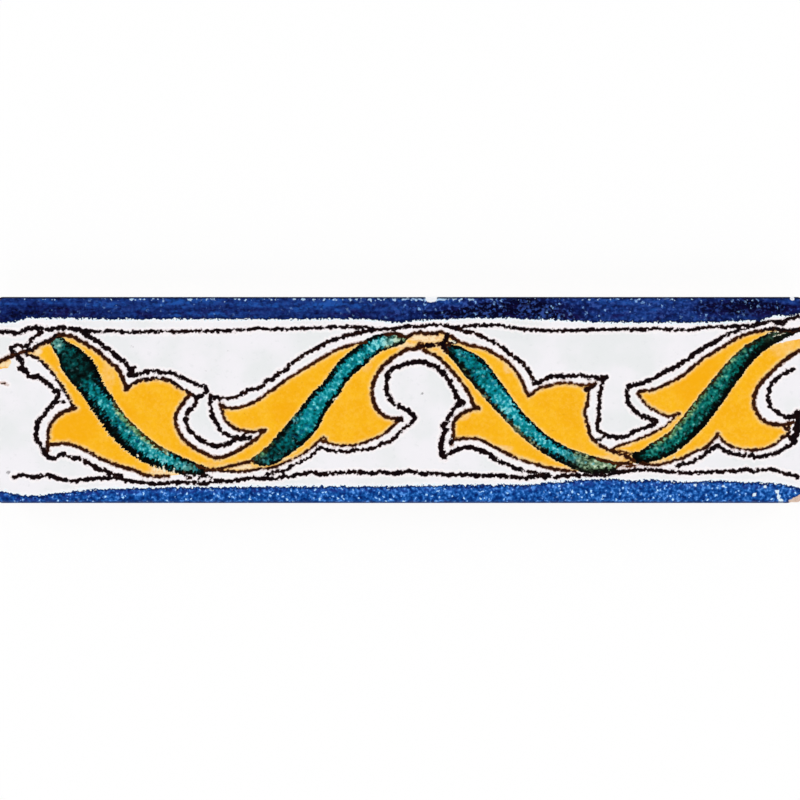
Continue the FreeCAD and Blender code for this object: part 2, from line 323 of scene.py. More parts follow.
    ("left end mark", 0.4, 1.0, [(-4, 381.5), (3, 382.5), (8, 384)]),
    ("upper border end", 1.6, 0.05, [(774, 321), (779, 323), (785, 321.5), (787, 318)]),
]

# Places that the brush left white on a vein or a line: half width in grid steps, then points
WHITE_FLECKS = [
    (0.8, [(137, 454.5), (137.5, 455.5)]),
    (0.7, [(153, 465.5), (154.3, 470)]),
    (0.6, [(158.3, 466), (157.8, 470)]),
    (1.1, [(163.3, 466), (164, 471.5)]),
    (0.7, [(174, 467.5), (173, 472)]),
    (0.8, [(333.5, 399), (337, 397.3)]),
    (0.6, [(370, 358.5), (371, 357.8)]),
    (0.9, [(449.5, 340), (452.5, 340.3), (455, 342)]),
    (0.7, [(677.5, 450), (678.8, 448.8)]),
    (0.6, [(673.5, 457), (675, 455.8)]),
    (0.25, [(768, 333), (774, 331.5), (780, 331)]),
    (0.3, [(771, 336.5), (776, 335)]),
    (0.35, [(778, 334.5), (785, 332.5)]),
]

# The yellow of the leaves lies inside these brush lines, one after the other: name, True if run backwards
LEAF_OUTLINE = [
    ("leaf 1 top", False), ("leaf 1 lobe top", False), ("leaf 1 side", False),
    ("leaf 2 left", True), ("leaf 2 top", False), ("stem 2 top", False),
    ("leaf 3 top", False), ("leaf 3 lobe top", False), ("leaf 3 side", False),
    ("stem 3 top", False), ("leaf 4 left", True), ("leaf 4 top", False),
    ("leaf 4 right", False), ("leaf 4 lobe", True), ("leaf 4 lower", True),
    ("leaf 3 lower", True), ("leaf 3 lower lobe", True), ("leaf 3 left", True),
    ("leaf 2 right", True), ("leaf 2 lobe", True), ("leaf 2 lower", True),
    ("stem 1 second", True), ("leaf 1 lower", True), ("leaf 1 lower lobe", True),
    ("leaf 1 left", True),
]
# More yellow at the left end
LEFT_END_PATCH = [(-5, 362), (3, 359), (9, 357.5), (11, 362), (8, 367), (-5, 369)]
# A gap in the yellow at the right end, where the white shows
RIGHT_END_GAP = [
    (774, 343.5), (782, 338.5), (790, 334.5), (798, 331), (806, 328), (806, 338), (798, 338.5), (790, 340),
    (782, 342)]

# Green veins: upper edge, lower edge, and stations along it: share of the way, light, upper black rim, lower
# black rim, paleness, olive tint along the upper edge, olive tint along the lower edge
VEINS = [
    ([(56, 337.5), (61, 337), (65.5, 341.5), (77, 347.5), (89.5, 358.5), (94.5, 365.5), (100, 378),
      (103, 385), (111.5, 397), (121.5, 412.5), (139, 430.5), (159, 446), (180.5, 457), (205, 467)],
     [(50, 342.5), (59, 357.5), (61.5, 367), (72, 381.5), (80, 390.5), (98, 416.5), (112.5, 436),
      (130, 452), (147.5, 462.5), (170.5, 470), (184, 473), (203, 474)],
     [(0.0, 0.82, 0.6, 0.6, 0.6, 0, 0), (0.035, 0.78, 0.9, 0.9, 0.5, 0, 0),
      (0.07, 0.26, 2.2, 1.2, 0.15, 0, 0), (0.17, 0.17, 2.5, 1.5, 0, 0, 0), (0.23, 0.14, 3.5, 1.6, 0, 0, 0),
      (0.27, 0.44, 4.3, 2.4, 0, 0, 0), (0.34, 0.62, 3.5, 4.4, 0, 0, 0), (0.39, 0.76, 2.8, 4.6, 0, 0.1, 0),
      (0.46, 0.62, 1.4, 5.6, 0, 0.8, 0), (0.56, 0.57, 1.3, 6.0, 0, 0.9, 0),
      (0.68, 0.72, 1.4, 5.2, 0, 0.85, 0), (0.78, 0.87, 1.5, 3.8, 0, 0.4, 0),
      (0.87, 0.78, 1.8, 2.7, 0.25, 0, 0), (0.94, 0.68, 1.7, 2.0, 0.5, 0, 0),
      (1.0, 0.1, 3.0, 3.0, 0, 0, 0)]),
    ([(251.5, 459), (266.5, 447.5), (280.5, 432), (295, 415.5), (309, 397.5), (315.5, 389.5),
      (322.5, 384.5), (328, 376), (340.5, 360.5), (356.5, 347), (366, 340), (376, 335), (387, 333),
      (398, 333), (407, 336)],
     [(254, 462), (262, 464.5), (270.5, 463.5), (279.5, 459.5), (297.5, 446.5), (305.5, 440), (312.5, 433),
      (318, 425), (322, 416), (327, 407.5), (338, 393), (343.5, 383.5), (351, 375), (367.5, 360.5),
      (375.5, 353.5), (384.5, 348.5), (404, 342)],
     [(0.0, 0.34, 1.5, 1.5, 0.5, 0.3, 0), (0.04, 0.35, 1.6, 1.6, 0.45, 0.4, 0),
      (0.12, 0.27, 2.2, 1.4, 0.05, 0.3, 0), (0.23, 0.33, 2.1, 1.8, 0.05, 0.1, 0),
      (0.3, 0.5, 1.7, 2.0, 0, 0.2, 0), (0.38, 0.7, 1.8, 2.1, 0, 0.1, 0), (0.46, 0.67, 2.1, 2.2, 0, 0, 0),
      (0.56, 0.81, 2.7, 2.4, 0, 0, 0), (0.64, 0.69, 2.5, 2.2, 0, 0, 0), (0.72, 0.75, 2.6, 1.8, 0, 0, 0),
      (0.78, 0.66, 2.8, 2.0, 0, 0, 0), (0.84, 0.92, 2.6, 1.8, 0.1, 0, 0.1),
      (0.92, 0.9, 2.6, 2.0, 0.5, 0, 0.2), (1.0, 0.75, 1.2, 1.4, 1.0, 0, 0)]),
    ([(446, 344), (453.5, 345), (461.5, 348), (478, 356.5), (485.5, 363), (497.5, 379.5), (511.5, 398.5),
      (519, 409), (527, 418), (546, 435), (567, 448), (591, 456), (618, 463)],
     [(445, 350), (457, 363.5), (470, 380), (486, 398), (502.5, 415.5), (520.5, 434), (541.5, 450.5),
      (564, 463), (575, 468), (586, 471.5), (598, 472.5), (614, 470.5)],
     [(0.0, 0.1, 3.0, 3.0, 0, 0, 0), (0.06, 0.58, 0.8, 3.4, 0.25, 0, 0.1),
      (0.14, 0.54, 0.9, 3.2, 0, 0, 0.2), (0.22, 0.57, 1.2, 3.0, 0, 0, 0.2),
      (0.3, 0.73, 0.9, 2.6, 0, 0, 0.2), (0.38, 0.8, 0.8, 2.4, 0, 0, 0.2),
      (0.46, 0.86, 0.8, 2.2, 0.12, 0, 0.35), (0.53, 0.72, 0.9, 2.4, 0.15, 0, 0.4),
      (0.62, 0.8, 0.8, 2.7, 0.05, 0, 0.2), (0.72, 0.78, 0.9, 3.0, 0.1, 0, 0.1),
      (0.79, 0.63, 0.9, 3.6, 0.4, 0.25, 0.1), (0.87, 0.6, 0.7, 3.9, 1.0, 0.2, 0.1),
      (0.94, 0.8, 0.8, 3.4, 1.0, 0.1, 0.1), (1.0, 0.7, 1.6, 2.0, 1.0, 0, 0)]),
    ([(632, 453.5), (639.5, 451.5), (646.5, 447), (664.5, 436), (672, 429.5), (686, 413.5), (698.5, 397.5),
      (712.5, 380), (727.5, 362.5), (736.5, 353.5), (745.5, 346), (766, 334.5), (777, 331), (790, 329)],
     [(634, 461.5), (643, 462), (652, 460), (670, 453.5), (687, 441.5), (704, 424.5), (718, 406),
      (732.5, 385.5), (748.5, 364), (757.5, 354.5), (767.5, 346.5), (788.5, 335), (799, 330)],
     [(0.0, 0.05, 4.0, 4.0, 0, 0, 0), (0.03, 0.2, 2.6, 3.2, 0.1, 0, 0), (0.07, 0.6, 1.8, 2.8, 0.15, 0, 0),
      (0.14, 0.46, 1.2, 2.8, 0.1, 0.6, 0), (0.24, 0.5, 1.0, 3.6, 0.05, 0.75, 0),
      (0.38, 0.45, 0.9, 4.2, 0, 0.7, 0), (0.52, 0.47, 1.0, 3.7, 0, 0.45, 0),
      (0.66, 0.45, 1.0, 3.5, 0, 0.45, 0), (0.78, 0.43, 1.2, 3.3, 0, 0.35, 0),
      (0.83, 0.22, 1.3, 4.4, 0.2, 0.2, 0), (0.93, 0.3, 1.8, 3.0, 0.9, 0, 0),
      (1.0, 0.0, 3.0, 3.0, 0, 0, 0)]),
]
# How ragged the edges of each vein are
VEIN_RAGGED = [1.0, 0.45, 0.14, 0.3]
# How far the teal of each vein leans to green
VEIN_GREEN = [0.25, 0.15, 0.1, 0.8]
# The olive tint fades between these distances from a vein's edge, in millimetres
OLIVE_FADE = (0.4, 2.1)
# Thin and thick black rims, in grid steps, with the shares of the raggedness that they get
RAGGED_RIMS = (1.5, 3.5)
RAGGED_SHARES = (0.2, 1.0)
# Thin and thick black rims, in grid steps, and how softly they fade into the green, in millimetres
SOFT_RIMS = (1.5, 5)
SOFTNESS = (0.5, 1.3)
# Hairs across a vein are stretched to this share of the fineness that they have along it
HAIR_STRETCH = 0.3

# Inner edges of the two blue bands, on the same grid
UPPER_BAND_EDGE = [
    (-4, 323.5), (5, 322.5), (14, 321), (20, 320), (25, 318), (45, 317.7), (80, 318), (110, 318.4),
    (150, 318.5), (200, 318.5), (250, 318.5), (310, 318.5), (360, 318.5), (380, 320), (392, 321.5),
    (405, 321.5), (420, 319.5), (450, 318.8), (466, 317.2), (490, 317.7), (510, 317.7), (530, 318.6),
    (550, 319.2), (570, 320), (600, 321.3), (650, 322), (700, 322), (722, 321.5), (738, 320), (758, 320),
    (765, 318.3), (770, 316.3), (775, 314.8), (783, 315.4), (790, 315.4), (797, 313.6), (804, 312)]
LOWER_BAND_EDGE = [
    (-4, 492), (5, 491), (18, 494.3), (40, 495), (50, 493.5), (70, 491), (100, 488.5), (150, 487.2),
    (200, 486.7), (260, 486), (330, 485.7), (390, 485.6), (420, 484.8), (480, 484.3), (530, 483.8),
    (545, 482.2), (560, 481), (580, 479), (618, 478.5), (635, 480.5), (650, 479), (680, 481.2), (720, 480),
    (740, 481.4), (760, 481.8), (775, 483), (790, 485), (804, 489)]

# How far the paint spread beyond the drawn width of a brush line and beyond the edge of a vein, in grid steps
BRUSH_SPREAD = 0.24
VEIN_SPREAD = 1.2
# How an unsteady hand moves a line sideways, in millimetres, and swells it, as a share of its width
SHAKE = 0.1
SWELL = 0.13
# Lengths of their waves over 2 pi, in millimetres
SHAKE_LENGTH = 0.25
SWELL_LENGTH = 0.24
# The waves that each is the sum of: size, pace, and shift from one line to the next
SHAKE_WAVES = [(1.0, 1.0, 1.7), (0.7, 1.73, 0.6)]
SWELL_WAVES = [(1.0, 1.0, 2.1), (0.8, 0.43, 1.0)]

# Stations along the strip, each with its place on the grid: how dark the upper band is
UPPER_BAND_DARKNESS = [
    (0, 0.6), (30, 0.47), (100, 0.42), (130, 0.18), (250, 0.2), (330, 0.25), (400, 0.36), (440, 0.52),
    (462, 0.65), (470, 1.1), (535, 1.18), (570, 0.64), (600, 0.27), (690, 0.22), (720, 0.3), (770, 0.35),
    (800, 0.45)]
# How full of pale specks the upper band is
UPPER_BAND_SPECKS = [(0, 0.3), (380, 0.3), (430, 1.0), (560, 0.95), (690, 0.75), (740, 0.5), (800, 0.55)]
# How worn the outer edge of the upper band is
UPPER_EDGE_WEAR = [
    (0, 0.2), (100, 0.25), (130, 0.6), (200, 0.6), (250, 0.5), (300, 0.6), (350, 0.6), (380, 0.9),
    (440, 1.0), (480, 0.6), (500, 0.2), (600, 0.4), (680, 0.45), (720, 0.25), (800, 0.2)]
# The wear starts and is full at these distances from the tile's edge, in millimetres
WEAR_START = 1.5
WEAR_FULL = 0.6
# How light the lower band is, either way from its usual blue
LOWER_BAND_LIGHT = [
    (0, -0.42), (60, -0.4), (110, -0.05), (300, 0.02), (400, 0.1), (500, 0.16), (600, 0.16), (700, 0.1),
    (800, -0.05)]

# This share of a soft spot's radius has its full strength
SPOT_CORE = 0.45
# Soft spots on the grid: x, y, radius along x, radius along y, strength. First where the yellow is pale.
PALE_SPOTS = [
    (425, 337, 24, 6, 1.0), (405, 345, 14, 6, 0.7), (242, 466, 16, 4, 1.0), (794, 346, 34, 22, 0.34),
    (36, 351, 9, 5, 0.7), (652, 461, 22, 4, 0.7), (615, 457, 20, 5, 0.5), (165, 472, 28, 4, 0.7),
    (560, 468, 22, 4, 0.6), (786, 428, 6, 5, 0.9), (290, 459, 18, 4, 0.6), (5, 363, 12, 6, 0.8),
    (215, 463, 24, 4, 0.35), (395, 421, 5, 4, 0.6), (438, 352, 16, 6, 0.4), (232, 466, 6, 4, 0.8),
    (108, 376, 11, 24, 0.32), (509, 366, 10, 10, 0.45), (366, 366, 10, 10, 0.35), (463, 415, 10, 8, 0.4),
    (503, 448, 16, 5, 0.45), (625, 444, 9, 4, 0.7), (183, 441, 6, 6, 0.45), (160, 468, 16, 3, 0.8)]
# Where the yellow is deep
DEEP_SPOTS = [
    (70, 425, 42, 26, 0.9), (55, 362, 12, 20, 0.8), (125, 415, 20, 14, 0.7), (285, 412, 22, 16, 0.7),
    (700, 378, 46, 36, 0.9), (745, 340, 20, 8, 0.6)]
# Grey specks in the white
GREY_SPECKS = [
    (422, 393, 2.2, 2.0, 0.8), (132, 346, 3.0, 2.0, 0.5), (36, 342, 2.0, 1.5, 0.9), (8, 472, 3.2, 2.5, 0.8),
    (206, 370, 2.5, 2.0, 0.35), (228, 350, 2.5, 2.0, 0.35), (437, 395, 2.5, 2.0, 0.3),
    (793, 459, 2.5, 2.0, 0.4), (57, 433, 2.5, 1.6, 0.9), (383, 332, 1.6, 4.0, 0.6)]
# Pale spots in the lower band
BAND_SPOTS = [
    (777, 490.5, 3.0, 2.2, 1.0), (778, 496, 2.2, 3.8, 1.0), (780.5, 500.5, 3.2, 3.4, 1.0),
    (754, 494, 2.6, 2.4, 1.0), (754, 502, 2.6, 2.0, 1.0), (765, 486, 2.0, 2.6, 0.8),
    (695, 484.5, 2.2, 2.0, 0.8), (723, 485.5, 2.2, 2.0, 0.8)]
# Darker stretches of the upper band
BAND_SHADES = [
    (50, 310, 80, 8, 0.22), (740, 307, 66, 11, 0.78), (650, 305, 50, 5, 0.15), (530, 303, 75, 9, 0.34),
    (450, 311, 50, 8, 0.24)]
# White notches in the outer edges of the bands
EDGE_NOTCHES = [
    (407, 297, 9, 2.5, 1.0), (431, 298, 8, 5, 1.0), (13, 297, 6, 2, 1.0), (792, 298, 3, 2.5, 1.0),
    (782, 503, 4, 3, 1.0)]
# Outline of the chipped corner, where the clay is bare
BARE_CORNER = [
    (780, 507), (782, 503.5), (785, 501.5), (790, 499), (795, 496.5), (800, 494), (808, 491), (808, 507)]

# Real relief of the face, in millimetres: the glaze's waves, their length, and the ridges of lines and veins
GLAZE_WAVE = 0.05
GLAZE_WAVE_LENGTH = 31
LINE_RIDGE = 0.04
VEIN_RIDGE = 0.03
# Ridges rise between these distances from their edges, from outside to inside
LINE_SLOPE = (-0.25, 0.3)
VEIN_SLOPE = (-0.2, 0.5)
# The chip: depth, length of its bumps, their share of the depth, and its slopes on the face and on the sides
CHIP_DEPTH = 0.45
CHIP_BUMP_LENGTH = 2.1
CHIP_BUMPS = 0.3
CHIP_SLOPE = (-0.15, 0.5)
CHIP_SIDE_SLOPE = (-0.2, 0.5)
# How far down the sides the chip reaches, and how deep it is there, as a share
CHIP_REACH = 3 * ARRIS_RADIUS
CHIP_SIDE_SHARE = 0.5
# The glaze on the sides: thickness, how far down it runs, and height, stretch and length of its end's waves
GLAZE_SKIN = 0.12
GLAZE_END = 3.3
GLAZE_END_WAVE = 1.2
GLAZE_END_STRETCH = 1.7
GLAZE_END_LENGTH = 23
# The glaze thins out between these distances past its end
SKIN_SLOPE = (-0.25, 0.35)
# From the flat of the face to the first ring of the arris, along the skin
FIRST_DROP = 0.2

# Distances are worked out up to this far from a line, in millimetres
FAR = 3.0
# Points along the middle of a vein, and how far from it places know how far along they are
VEIN_STEPS = 60
VEIN_REACH = 4.5

# Roughness of painted lines and of bare clay, and how strongly the glaze bends light
LINE_ROUGHNESS = 0.26
CLAY_ROUGHNESS = 0.86
GLAZE_IOR = 1.5


def to_face(points):
    """Points of the drawing grid as millimetres on the face, with y up."""
    grid = np.array(points, float)
    return np.column_stack([grid[:, 0] - GRID_MIDDLE[0], GRID_MIDDLE[1] - grid[:, 1]]) * GRID


def smooth_line(points):
    """A smooth line through points of the drawing grid, in millimetres."""
    knots = to_face(points)
    run = np.vstack([2 * knots[0] - knots[1], knots, 2 * knots[-1] - knots[-2]])
    pieces = []
    for before, start, end, after in zip(run, run[1:], run[2:], run[3:]):
        count = max(1, math.ceil(np.linalg.norm(end - start) / (LINE_STEP * GRID)))
        t = np.linspace(0, 1, count, endpoint=False)[:, None]
        bend = 2 * before - 5 * start + 4 * end - after
        twist = 3 * start - before - 3 * end + after
        pieces.append(start + 0.5 * ((end - before) * t + bend * t ** 2 + twist * t ** 3))
    return np.vstack(pieces + [knots[-1:]])


def travelled(line):
    """How far along a line each of its points is."""
    return np.concatenate([[0], np.cumsum(np.linalg.norm(np.diff(line, axis=0), axis=1))])


def evenly(line, count):
    """Points spread evenly along a line."""
    lengths = travelled(line)
    wanted = np.linspace(0, lengths[-1], count)
    return np.column_stack([np.interp(wanted, lengths, line[:, axis]) for axis in (0, 1)])


def line_travel(xs, ys, line, reach=FAR):
    """How far each vertex of the face is from a line, up to reach, and how far along the line that is."""
    away = np.full((len(ys), len(xs)), reach)
    travel = np.zeros(away.shape)
    passed = 0.0
    for start, end in zip(line, line[1:]):
        low = np.minimum(start, end) - reach
        high = np.maximum(start, end) + reach
        columns = slice(*np.searchsorted(xs, (low[0], high[0])))
        rows = slice(*np.searchsorted(ys, (low[1], high[1])))
        along = end - start
        length = np.linalg.norm(along)
        from_x = xs[columns][None, :] - start[0]
        from_y = ys[rows][:, None] - start[1]
        share = np.clip((from_x * along[0] + from_y * along[1]) / max(along @ along, NEARLY ** 2), 0, 1)
        distance = np.hypot(from_x - share * along[0], from_y - share * along[1])
        nearer = distance < away[rows, columns]
        away[rows, columns] = np.where(nearer, distance, away[rows, columns])
        travel[rows, columns] = np.where(nearer, passed + share * length, travel[rows, columns])
        passed += length
    return away, travel


def wave_sum(travel, number, parts):
    """The sum of some waves along a line. Each numbered line has its own."""
    return sum(size * np.sin(pace * travel + shift * number) for size, pace, shift in parts)


def steadiness(brown):
    """How steady the hand was. The browner a line is, the steadier it was drawn, up to a limit."""
    return np.clip(1.3 * brown - 0.15, 0, 0.6)


def shaken(line, number, steady):
    """A line as an unsteady hand draws it. Each numbered line shakes in its own way."""
    along = np.gradient(line, axis=0)
    across = np.column_stack([-along[:, 1], along[:, 0]]) / np.linalg.norm(along, axis=1)[:, None]
    swing = wave_sum(travelled(line) / SHAKE_LENGTH, number, SHAKE_WAVES)
    return line + SHAKE * (1 - steady) * swing[:, None] * across


def line_distance(xs, ys, line):
    """How far each vertex of the face is from a line, up to FAR."""
    return line_travel(xs, ys, line)[0]


def area_depth(xs, ys, outline):
    """How deep each vertex of the face lies inside a closed outline. Outside it is negative."""
    following = np.roll(outline, -1, axis=0)
    inside = np.zeros((len(ys), len(xs)), bool)
    for row, y in enumerate(ys):
        crossing = (outline[:, 1] <= y) != (following[:, 1] <= y)
        start = outline[crossing]
        end = following[crossing]
        places = start[:, 0] + (y - start[:, 1]) / (end[:, 1] - start[:, 1]) * (end[:, 0] - start[:, 0])
        inside[row] = np.searchsorted(np.sort(places), xs) % 2 == 1
    distance = line_distance(xs, ys, np.vstack([outline, outline[:1]]))
    return np.where(inside, distance, -distance)


def eased(values, low, high):
    """A smooth step from 0 at low to 1 at high."""
    t = np.clip((values - low) / (high - low), 0, 1)
    return t * t * (3 - 2 * t)


def spot_field(x, y, spots):
    """Soft round spots of the drawing grid, each up to its strength."""
    field = np.zeros(x.shape)
    for spot_x, spot_y, radius_x, radius_y, strength in spots:
        middle = to_face([(spot_x, spot_y)])[0]
        away = np.hypot((x - middle[0]) / (radius_x * GRID), (y - middle[1]) / (radius_y * GRID))
        field = np.maximum(field, strength * (1 - eased(away, SPOT_CORE, 1.0)))
    return field


def along_strip(x, stations):
    """Values given at stations along the strip, for each x."""
    places = to_face([(station, 0) for station, value in stations])[:, 0]
    return np.interp(x, places, [value for station, value in stations])


def vein_fields(xs, ys):
    """What the paint of the green veins needs to know at each vertex of the face."""
    x, y = np.meshgrid(xs, ys)
    found = {name: np.zeros(x.shape) for name in
             ("vein_light", "vein_pale", "vein_olive", "vein_along", "vein_rough", "vein_green", "vein_soft")}
    found["vein"] = np.full(x.shape, -FAR)
    found["vein_rim"] = np.full(x.shape, -FAR)
    for (upper, lower, stations), most_ragged, greenness in zip(VEINS, VEIN_RAGGED, VEIN_GREEN):
        top = smooth_line(upper)
        bottom = smooth_line(lower)
        depth = area_depth(xs, ys, np.vstack([top, bottom[::-1]]))
        top_gap = line_distance(xs, ys, top)
        bottom_gap = line_distance(xs, ys, bottom)
        nearer_top = top_gap < bottom_gap
        from_top = np.where((depth < 0) & nearer_top, -top_gap, top_gap)
        from_bottom = np.where((depth < 0) & ~nearer_top, -bottom_gap, bottom_gap)
        middle = (evenly(top, VEIN_STEPS) + evenly(bottom, VEIN_STEPS)) / 2
        along = line_travel(xs, ys, middle, VEIN_REACH)[1]
        share = along / travelled(middle)[-1]
        at, *columns = np.array(stations).T
        light, top_rim, bottom_rim, pale, top_olive, bottom_olive = (
            np.interp(share, at, column) for column in columns)
        top_olive = top_olive * (1 - eased(from_top, *OLIVE_FADE))
        bottom_olive = bottom_olive * (1 - eased(from_bottom, *OLIVE_FADE))
        rim = np.where(nearer_top, top_rim, bottom_rim)
        own = {
            "vein_along": along,
            "vein_rough": most_ragged * np.interp(rim, RAGGED_RIMS, RAGGED_SHARES),
            "vein_soft": np.interp(rim, SOFT_RIMS, SOFTNESS),
            "vein": depth + VEIN_SPREAD * GRID,
            "vein_rim": np.maximum(top_rim * GRID - from_top, bottom_rim * GRID - from_bottom),
            "vein_light": light,
            "vein_pale": pale,
            "vein_olive": np.maximum(top_olive, bottom_olive),
            "vein_green": np.full(x.shape, greenness),
        }
        nearer = own["vein"] > found["vein"]
        for name, field in own.items():
            found[name][nearer] = field[nearer]
    return found


def paint_fields(xs, ys):
    """Everything that the paint needs to know at each vertex of the face, in millimetres or from 0 to 1."""
    x, y = np.meshgrid(xs, ys)
    lines = {name: smooth_line(points) for name, half_width, brown, points in BRUSH_LINES}
    line_gap = np.full(x.shape, FAR)
    line_brown = np.zeros(x.shape)
    for number, (name, half_width, brown, points) in enumerate(BRUSH_LINES):
        steady = steadiness(brown)
        away, travel = line_travel(xs, ys, shaken(lines[name], number, steady))
        swell = wave_sum(travel / SWELL_LENGTH, number, SWELL_WAVES)
        gap = away - (half_width + BRUSH_SPREAD) * GRID * (1 + SWELL * (1 - steady) * swell)
        line_brown = np.where(gap < line_gap, brown, line_brown)
        line_gap = np.minimum(gap, line_gap)
    fleck = np.full(x.shape, FAR)
    for half_width, points in WHITE_FLECKS:
        fleck = np.minimum(fleck, line_distance(xs, ys, smooth_line(points)) - half_width * GRID)
    outline = np.vstack([lines[name][::-1] if backwards else lines[name] for name, backwards in LEAF_OUTLINE])
    leaf = np.maximum(area_depth(xs, ys, outline), area_depth(xs, ys, to_face(LEFT_END_PATCH)))
    leaf = np.minimum(leaf, -area_depth(xs, ys, to_face(RIGHT_END_GAP)))
    upper_edge = smooth_line(UPPER_BAND_EDGE)
    lower_edge = smooth_line(LOWER_BAND_EDGE)
    near_edge = eased(y, HALF_WIDTH - WEAR_START, HALF_WIDTH - WEAR_FULL)
    return {
        "line_gap": line_gap,
        "line_brown": line_brown,
        "fleck": fleck,
        "leaf": leaf,
        "leaf_pale": spot_field(x, y, PALE_SPOTS),
        "leaf_deep": spot_field(x, y, DEEP_SPOTS),
        **vein_fields(xs, ys),
        "upper_band": y - np.interp(x, upper_edge[:, 0], upper_edge[:, 1]),
        "lower_band": np.interp(x, lower_edge[:, 0], lower_edge[:, 1]) - y,
        "band_dark": along_strip(x, UPPER_BAND_DARKNESS),
        "band_shade": spot_field(x, y, BAND_SHADES),
        "band_specks": along_strip(x, UPPER_BAND_SPECKS),
        "band_light": along_strip(x, LOWER_BAND_LIGHT),
        "edge_wear": along_strip(x, UPPER_EDGE_WEAR) * near_edge,
        "speck": spot_field(x, y, GREY_SPECKS),
        "band_spot": spot_field(x, y, BAND_SPOTS),
        "notch": spot_field(x, y, EDGE_NOTCHES),
        "bare": area_depth(xs, ys, to_face(BARE_CORNER)),
    }


def waves(x, y, length):
    """A gentle uneven swell from 0 to 1, repeating after about this many millimetres."""
    turn = 2 * math.pi / length
    bent_x = turn * x + 1.3 * np.sin(0.61 * turn * y)
    bent_y = 0.83 * turn * y + 1.7 * np.sin(0.47 * turn * x)
    swell = np.sin(bent_x) + np.sin(bent_y)
    ripple = np.sin(2.3 * turn * (x + 0.6 * y)) + np.sin(2.9 * turn * (y - 0.4 * x))
    return np.clip(0.5 + 0.17 * swell + 0.07 * ripple, 0, 1)


def face_steps(half, corner):
    """Vertex places along one side of the flat of the face: fine in the rounded corners, and even between."""
    inner = half - corner
    count = 2 * round(inner / FACE_STEP)
    fine = np.linspace(0, corner, CORNER_STEPS + 1)[1:]
    return np.concatenate([-inner - fine[::-1], np.linspace(-inner, inner, count + 1), inner + fine])


def round_corners(x, y, inner_x, inner_y, corner):
    """Bends the corners of a rectangular grid of vertices into round ones."""
    over_x = np.clip((np.abs(x) - inner_x) / corner, 0, None)
    over_y = np.clip((np.abs(y) - inner_y) / corner, 0, None)
    at_corner = (over_x > 0) & (over_y > 0)
    round_x = np.sign(x) * (inner_x + corner * over_x * np.sqrt(1 - over_y ** 2 / 2))
    round_y = np.sign(y) * (inner_y + corner * over_y * np.sqrt(1 - over_x ** 2 / 2))
    return np.where(at_corner, round_x, x), np.where(at_corner, round_y, y)


# Where the pieces of the skin lie on the square map that the colours are baked to: left, low, right, high.
# The two halves of the painted face get most of it.
MAP_FACE = [(0.004, 0.668, 0.996, 0.996), (0.004, 0.334, 0.996, 0.662)]
MAP_SIDES = [(0.004, 0.276, 0.996, 0.328), (0.004, 0.218, 0.996, 0.270)]
MAP_BACK = (0.004, 0.004, 0.996, 0.212)
# How wide the walls of a groove are on the map, in millimetres of the back
MAP_KEY_WALL = 1.0


def on_map(area, share_x, share_y):
    """Places in one area of the map, from shares of its width and height."""
    left, low, right, high = area
    return np.stack([left + share_x * (right - left), low + share_y * (high - low)], axis=-1)


class Skin:
    """Collects the vertices, faces and map places of the strip's surface, piece by piece."""

    def __init__(self, fields):
        self.points = []
        self.fields = {name: [] for name in fields}
        self.faces = []
        self.map_places = []
        self.count = 0

    def add_points(self, points, values):
        """Adds vertices with their painted values, and gives their numbers."""
        first = self.count
        self.points.append(points)
        self.count += len(points)
        for name, kept in self.fields.items():
            kept.append(np.broadcast_to(np.asarray(values[name], float), len(points)))
        return np.arange(first, self.count)

    def add_faces(self, faces, places):
        """Adds faces with the same number of corners, and each corner's place on the map."""
        self.faces.extend(faces.tolist())
        self.map_places.append(places.reshape(-1, 2))


def add_face(skin, xs, ys, fields, relief):
    """The flat of the glazed face, as a fine grid. Gives the numbers of its vertices, row by row."""
    x, y = np.meshgrid(xs, ys)
    flat_corner = CORNER_RADIUS - ARRIS_RADIUS
    x, y = round_corners(x, y, HALF_LENGTH - CORNER_RADIUS, HALF_WIDTH - CORNER_RADIUS, flat_corner)
    points = np.column_stack([x.ravel(), y.ravel(), (THICKNESS + relief).ravel()])
    values = {name: field.ravel() for name, field in fields.items()}
    numbers = skin.add_points(points, values).reshape(x.shape)
    corners = [numbers[:-1, :-1], numbers[:-1, 1:], numbers[1:, 1:], numbers[1:, :-1]]
    faces = np.stack([part.ravel() for part in corners], axis=1)
    face_x = points[faces, 0]
    share_y = (points[faces, 1] + HALF_WIDTH) / WIDTH
    on_left = (face_x.mean(axis=1) < 0)[:, None, None]
    left = on_map(MAP_FACE[0], (face_x + HALF_LENGTH) / HALF_LENGTH, share_y)
    right = on_map(MAP_FACE[1], face_x / HALF_LENGTH, share_y)
    skin.add_faces(faces, np.where(on_left, left, right))
    return numbers


def edge_of(table):
    """The outer ring of a table of vertices, anticlockwise from its lowest left corner."""
    return np.concatenate([table[0, :-1], table[:-1, -1], table[-1, :0:-1], table[:0:-1, 0]])


def rim_profile():
    """The section of the strip's edge, arris to bevel: reach from the corner's centre, and height."""
    turns = np.linspace(0, math.pi / 2, ARRIS_STEPS + 1)[1:]
    reach = CORNER_RADIUS - ARRIS_RADIUS * (1 - np.sin(turns))
    height = THICKNESS - ARRIS_RADIUS * (1 - np.cos(turns))
    side_count = round((height[-1] - BACK_BEVEL) / SIDE_STEP)
    side = np.linspace(height[-1], BACK_BEVEL, side_count + 1)[1:]
    reach = np.concatenate([reach, np.full(side_count, CORNER_RADIUS), [CORNER_RADIUS - BACK_BEVEL]])
    height = np.concatenate([height, side, [0.0]])
    return reach, height


